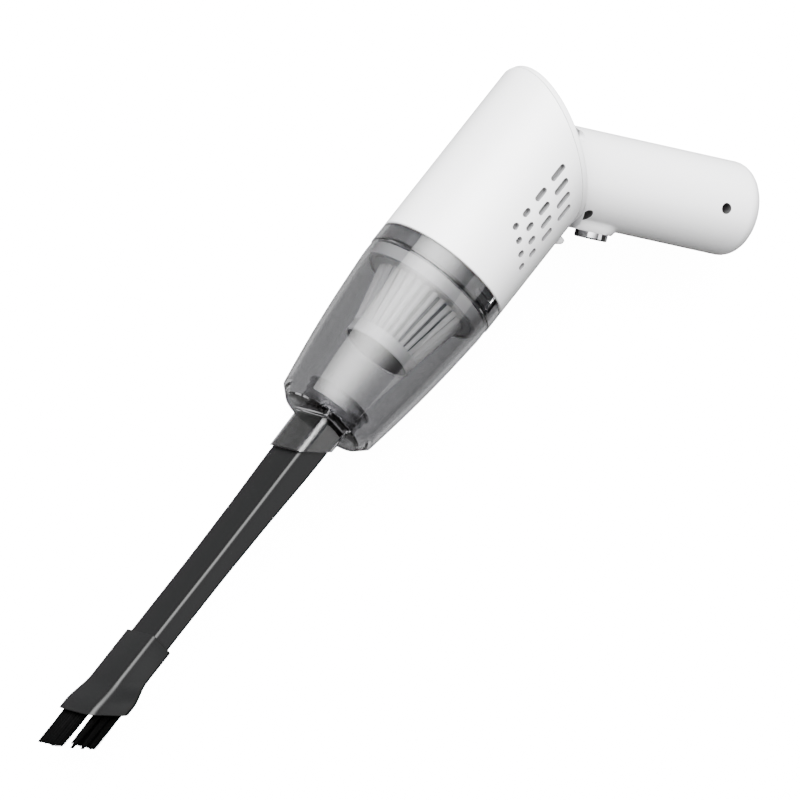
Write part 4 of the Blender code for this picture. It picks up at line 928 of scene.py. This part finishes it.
def strand(shape, foot, tip):
    """A three-sided spike, thinner towards its tip."""
    middle = (foot + tip) / 2
    rows = []
    for centre, share in ((foot, 1), (middle, 0.9), (tip, 0.45)):
        radius = share * STRAND_RADIUS
        rows.append([
            centre + Vector((radius * math.cos(angle), radius * math.sin(angle), 0))
            for angle in (0, 2 * math.pi / 3, 4 * math.pi / 3)])
    skin(shape, rows)


def tuft(shape, middle, reach, gather, strands):
    """Strands round one point of the mouth. gather narrows the tuft towards its tips."""
    end = SLEEVE_END + BRISTLE_LENGTH - 0.6 * MM * random.random()
    x_most, y_most = tuft_height / 2 - POCKET_EDGE, tuft_width / 2 - POCKET_EDGE
    for _ in range(strands):
        away = reach * math.sqrt(random.random())
        around = 2 * math.pi * random.random()
        x = max(min(middle[0] + away * math.cos(around), x_most), -x_most)
        y = max(min(middle[1] + away * math.sin(around), y_most), -y_most)
        tip_x = TIP_SPREAD_X * (middle[0] + gather * (x - middle[0]))
        tip_y = TIP_SPREAD_Y * (middle[1] + gather * (y - middle[1]))
        tip_end = end - 1.1 * MM * random.random() ** 2 - END_SLANT * tip_x
        bristle_foot = Vector((x, y, root + GAP - END_SLANT * x))
        strand(shape, bristle_foot, Vector((tip_x, tip_y, tip_end)))


random.seed(7)
shape = bmesh.new()
edge_x, edge_y = tuft_height / 2 - 1.5 * MM, tuft_width / 2 - 1.7 * MM
for side in (1, -1):
    for i in range(BLOCK_TUFTS):
        y = -edge_y + (2 * edge_y - SLIT) * i / (BLOCK_TUFTS - 1)
        tuft(shape, (side * -edge_x, side * y), BLOCK_RADIUS, BLOCK_GATHER, BLOCK_STRANDS)
    for i in range(SIDE_TUFTS):
        x = -edge_x + 2.0 * MM + SIDE_PITCH * i
        tuft(shape, (side * x, side * edge_y), SIDE_RADIUS, SIDE_GATHER, SIDE_STRANDS)
bristles = piece_from("bristle_tufts", shape, BODY, "black_bristle")
settle(bristles, "brush", "black_bristle", "brush_bristles")

# %% [markdown]
# ## Floor, light and camera
# The vacuum lies on a white sweep under soft light: a surround that is bright on one side and
# fades to the other, and one weak panel overhead for the glints. The sweep glows only where the
# camera sees it, directly or through the clear cup, so it stays white without lighting the
# underside of the vacuum.

# %% Floor and lights
SWEEP_GLOW = 14.0
SWEEP_THROUGH_CLEAR = 1.3
SWEEP_SIZE = 4.0
BRIGHT_SIDE = Vector((-0.25, -0.77, 0.59)).normalized()
SURROUND_FADE = 6.5
SURROUND_LEAST, SURROUND_MOST = 0.05, 27.0
shape = bmesh.new()
bmesh.ops.create_grid(shape, x_segments=1, y_segments=1, size=SWEEP_SIZE)
floor_plane = piece_from("floor", shape, Matrix.Identity(4), None)
floor_look = bpy.data.materials.new("white_sweep")
floor_look.use_nodes = True
floor_nodes, floor_links = floor_look.node_tree.nodes, floor_look.node_tree.links
floor_shader = floor_nodes["Principled BSDF"]
floor_shader.inputs["Roughness"].default_value = 0.9
floor_shader.inputs["Specular IOR Level"].default_value = 0.0
floor_shader.inputs["Emission Color"].default_value = (1, 1, 1, 1)
light_path = floor_nodes.new("ShaderNodeLightPath")
seen = light_path.outputs["Is Camera Ray"]
floor_tone = floor_nodes.new("ShaderNodeMix")
floor_tone.data_type = "RGBA"
floor_tone.inputs["A"].default_value = (0.1, 0.1, 0.1, 1)
floor_tone.inputs["B"].default_value = (0.9, 0.9, 0.9, 1)
floor_links.new(seen, floor_tone.inputs["Factor"])
floor_links.new(floor_tone.outputs["Result"], floor_shader.inputs["Base Color"])
glow = floor_nodes.new("ShaderNodeMath")
glow.operation = "MULTIPLY"
glow.inputs[1].default_value = SWEEP_GLOW
floor_links.new(seen, glow.inputs[0])
seen_through = floor_nodes.new("ShaderNodeMath")
seen_through.operation = "MULTIPLY_ADD"
seen_through.inputs[1].default_value = SWEEP_THROUGH_CLEAR
floor_links.new(light_path.outputs["Is Transmission Ray"], seen_through.inputs[0])
floor_links.new(glow.outputs["Value"], seen_through.inputs[2])
floor_links.new(seen_through.outputs["Value"], floor_shader.inputs["Emission Strength"])
floor_plane.data.materials.append(floor_look)

world = bpy.data.worlds.new("studio")
bpy.context.scene.world = world
world.use_nodes = True
world_nodes, world_links = world.node_tree.nodes, world.node_tree.links
direction = world_nodes.new("ShaderNodeTexCoord")
facing = world_nodes.new("ShaderNodeVectorMath")
facing.operation = "DOT_PRODUCT"
facing.inputs[1].default_value = BRIGHT_SIDE
world_links.new(direction.outputs["Generated"], facing.inputs[0])
spread = world_nodes.new("ShaderNodeMapRange")
spread.inputs["From Min"].default_value = -0.1
spread.inputs["From Max"].default_value = 1.0
world_links.new(facing.outputs["Value"], spread.inputs["Value"])
rise = world_nodes.new("ShaderNodeMath")
rise.operation = "POWER"
rise.inputs[1].default_value = SURROUND_FADE
world_links.new(spread.outputs["Result"], rise.inputs[0])
falloff = world_nodes.new("ShaderNodeMapRange")
falloff.inputs["To Min"].default_value = SURROUND_LEAST
falloff.inputs["To Max"].default_value = SURROUND_MOST
world_links.new(rise.outputs["Value"], falloff.inputs["Value"])
world_links.new(falloff.outputs["Result"], world_nodes["Background"].inputs["Strength"])
world_nodes["Background"].inputs["Color"].default_value = (1, 1, 1, 1)


def panel(name, location, size, power, target=(0, 0, 0.03)):
    """A square area light that faces the vacuum."""
    data = bpy.data.lights.new(name, "AREA")
    data.size = size
    data.energy = power
    lamp = bpy.data.objects.new(name, data)
    bpy.context.scene.collection.objects.link(lamp)
    lamp.location = location
    lamp.rotation_mode = "QUATERNION"
    lamp.rotation_quaternion = (Vector(target) - Vector(location)).to_track_quat("-Z", "Y")


panel("overhead", (-0.49, 0.87, 1.5), 0.8, 5.0)

# %% Camera
TOWARDS_CAMERA = Vector((0.26556, -0.48279, 0.8345)).normalized()
CAMERA_UP = Vector((-0.7571, -0.64034, -0.12952))
CAMERA_UP = (CAMERA_UP - TOWARDS_CAMERA * CAMERA_UP.dot(TOWARDS_CAMERA)).normalized()
CAMERA_RIGHT = CAMERA_UP.cross(TOWARDS_CAMERA)
CAMERA_DISTANCE = 12.0
AIM_FROM_SWIVEL = Vector((0.135192, 0.040185, 0))
aim = SWIVEL_CENTRE + AIM_FROM_SWIVEL - 0.0051156 * CAMERA_RIGHT + 0.015484 * CAMERA_UP
camera_data = bpy.data.cameras.new("camera")
camera_data.type = "PERSP"
camera_data.lens = 1216.4
camera_data.clip_start = 1.0
camera_data.clip_end = 40.0
camera = bpy.data.objects.new("camera", camera_data)
bpy.context.scene.collection.objects.link(camera)
camera_turn = Matrix((CAMERA_RIGHT, CAMERA_UP, TOWARDS_CAMERA)).transposed().to_4x4()
camera.matrix_world = Matrix.Translation(aim + CAMERA_DISTANCE * TOWARDS_CAMERA) @ camera_turn
bpy.context.scene.camera = camera
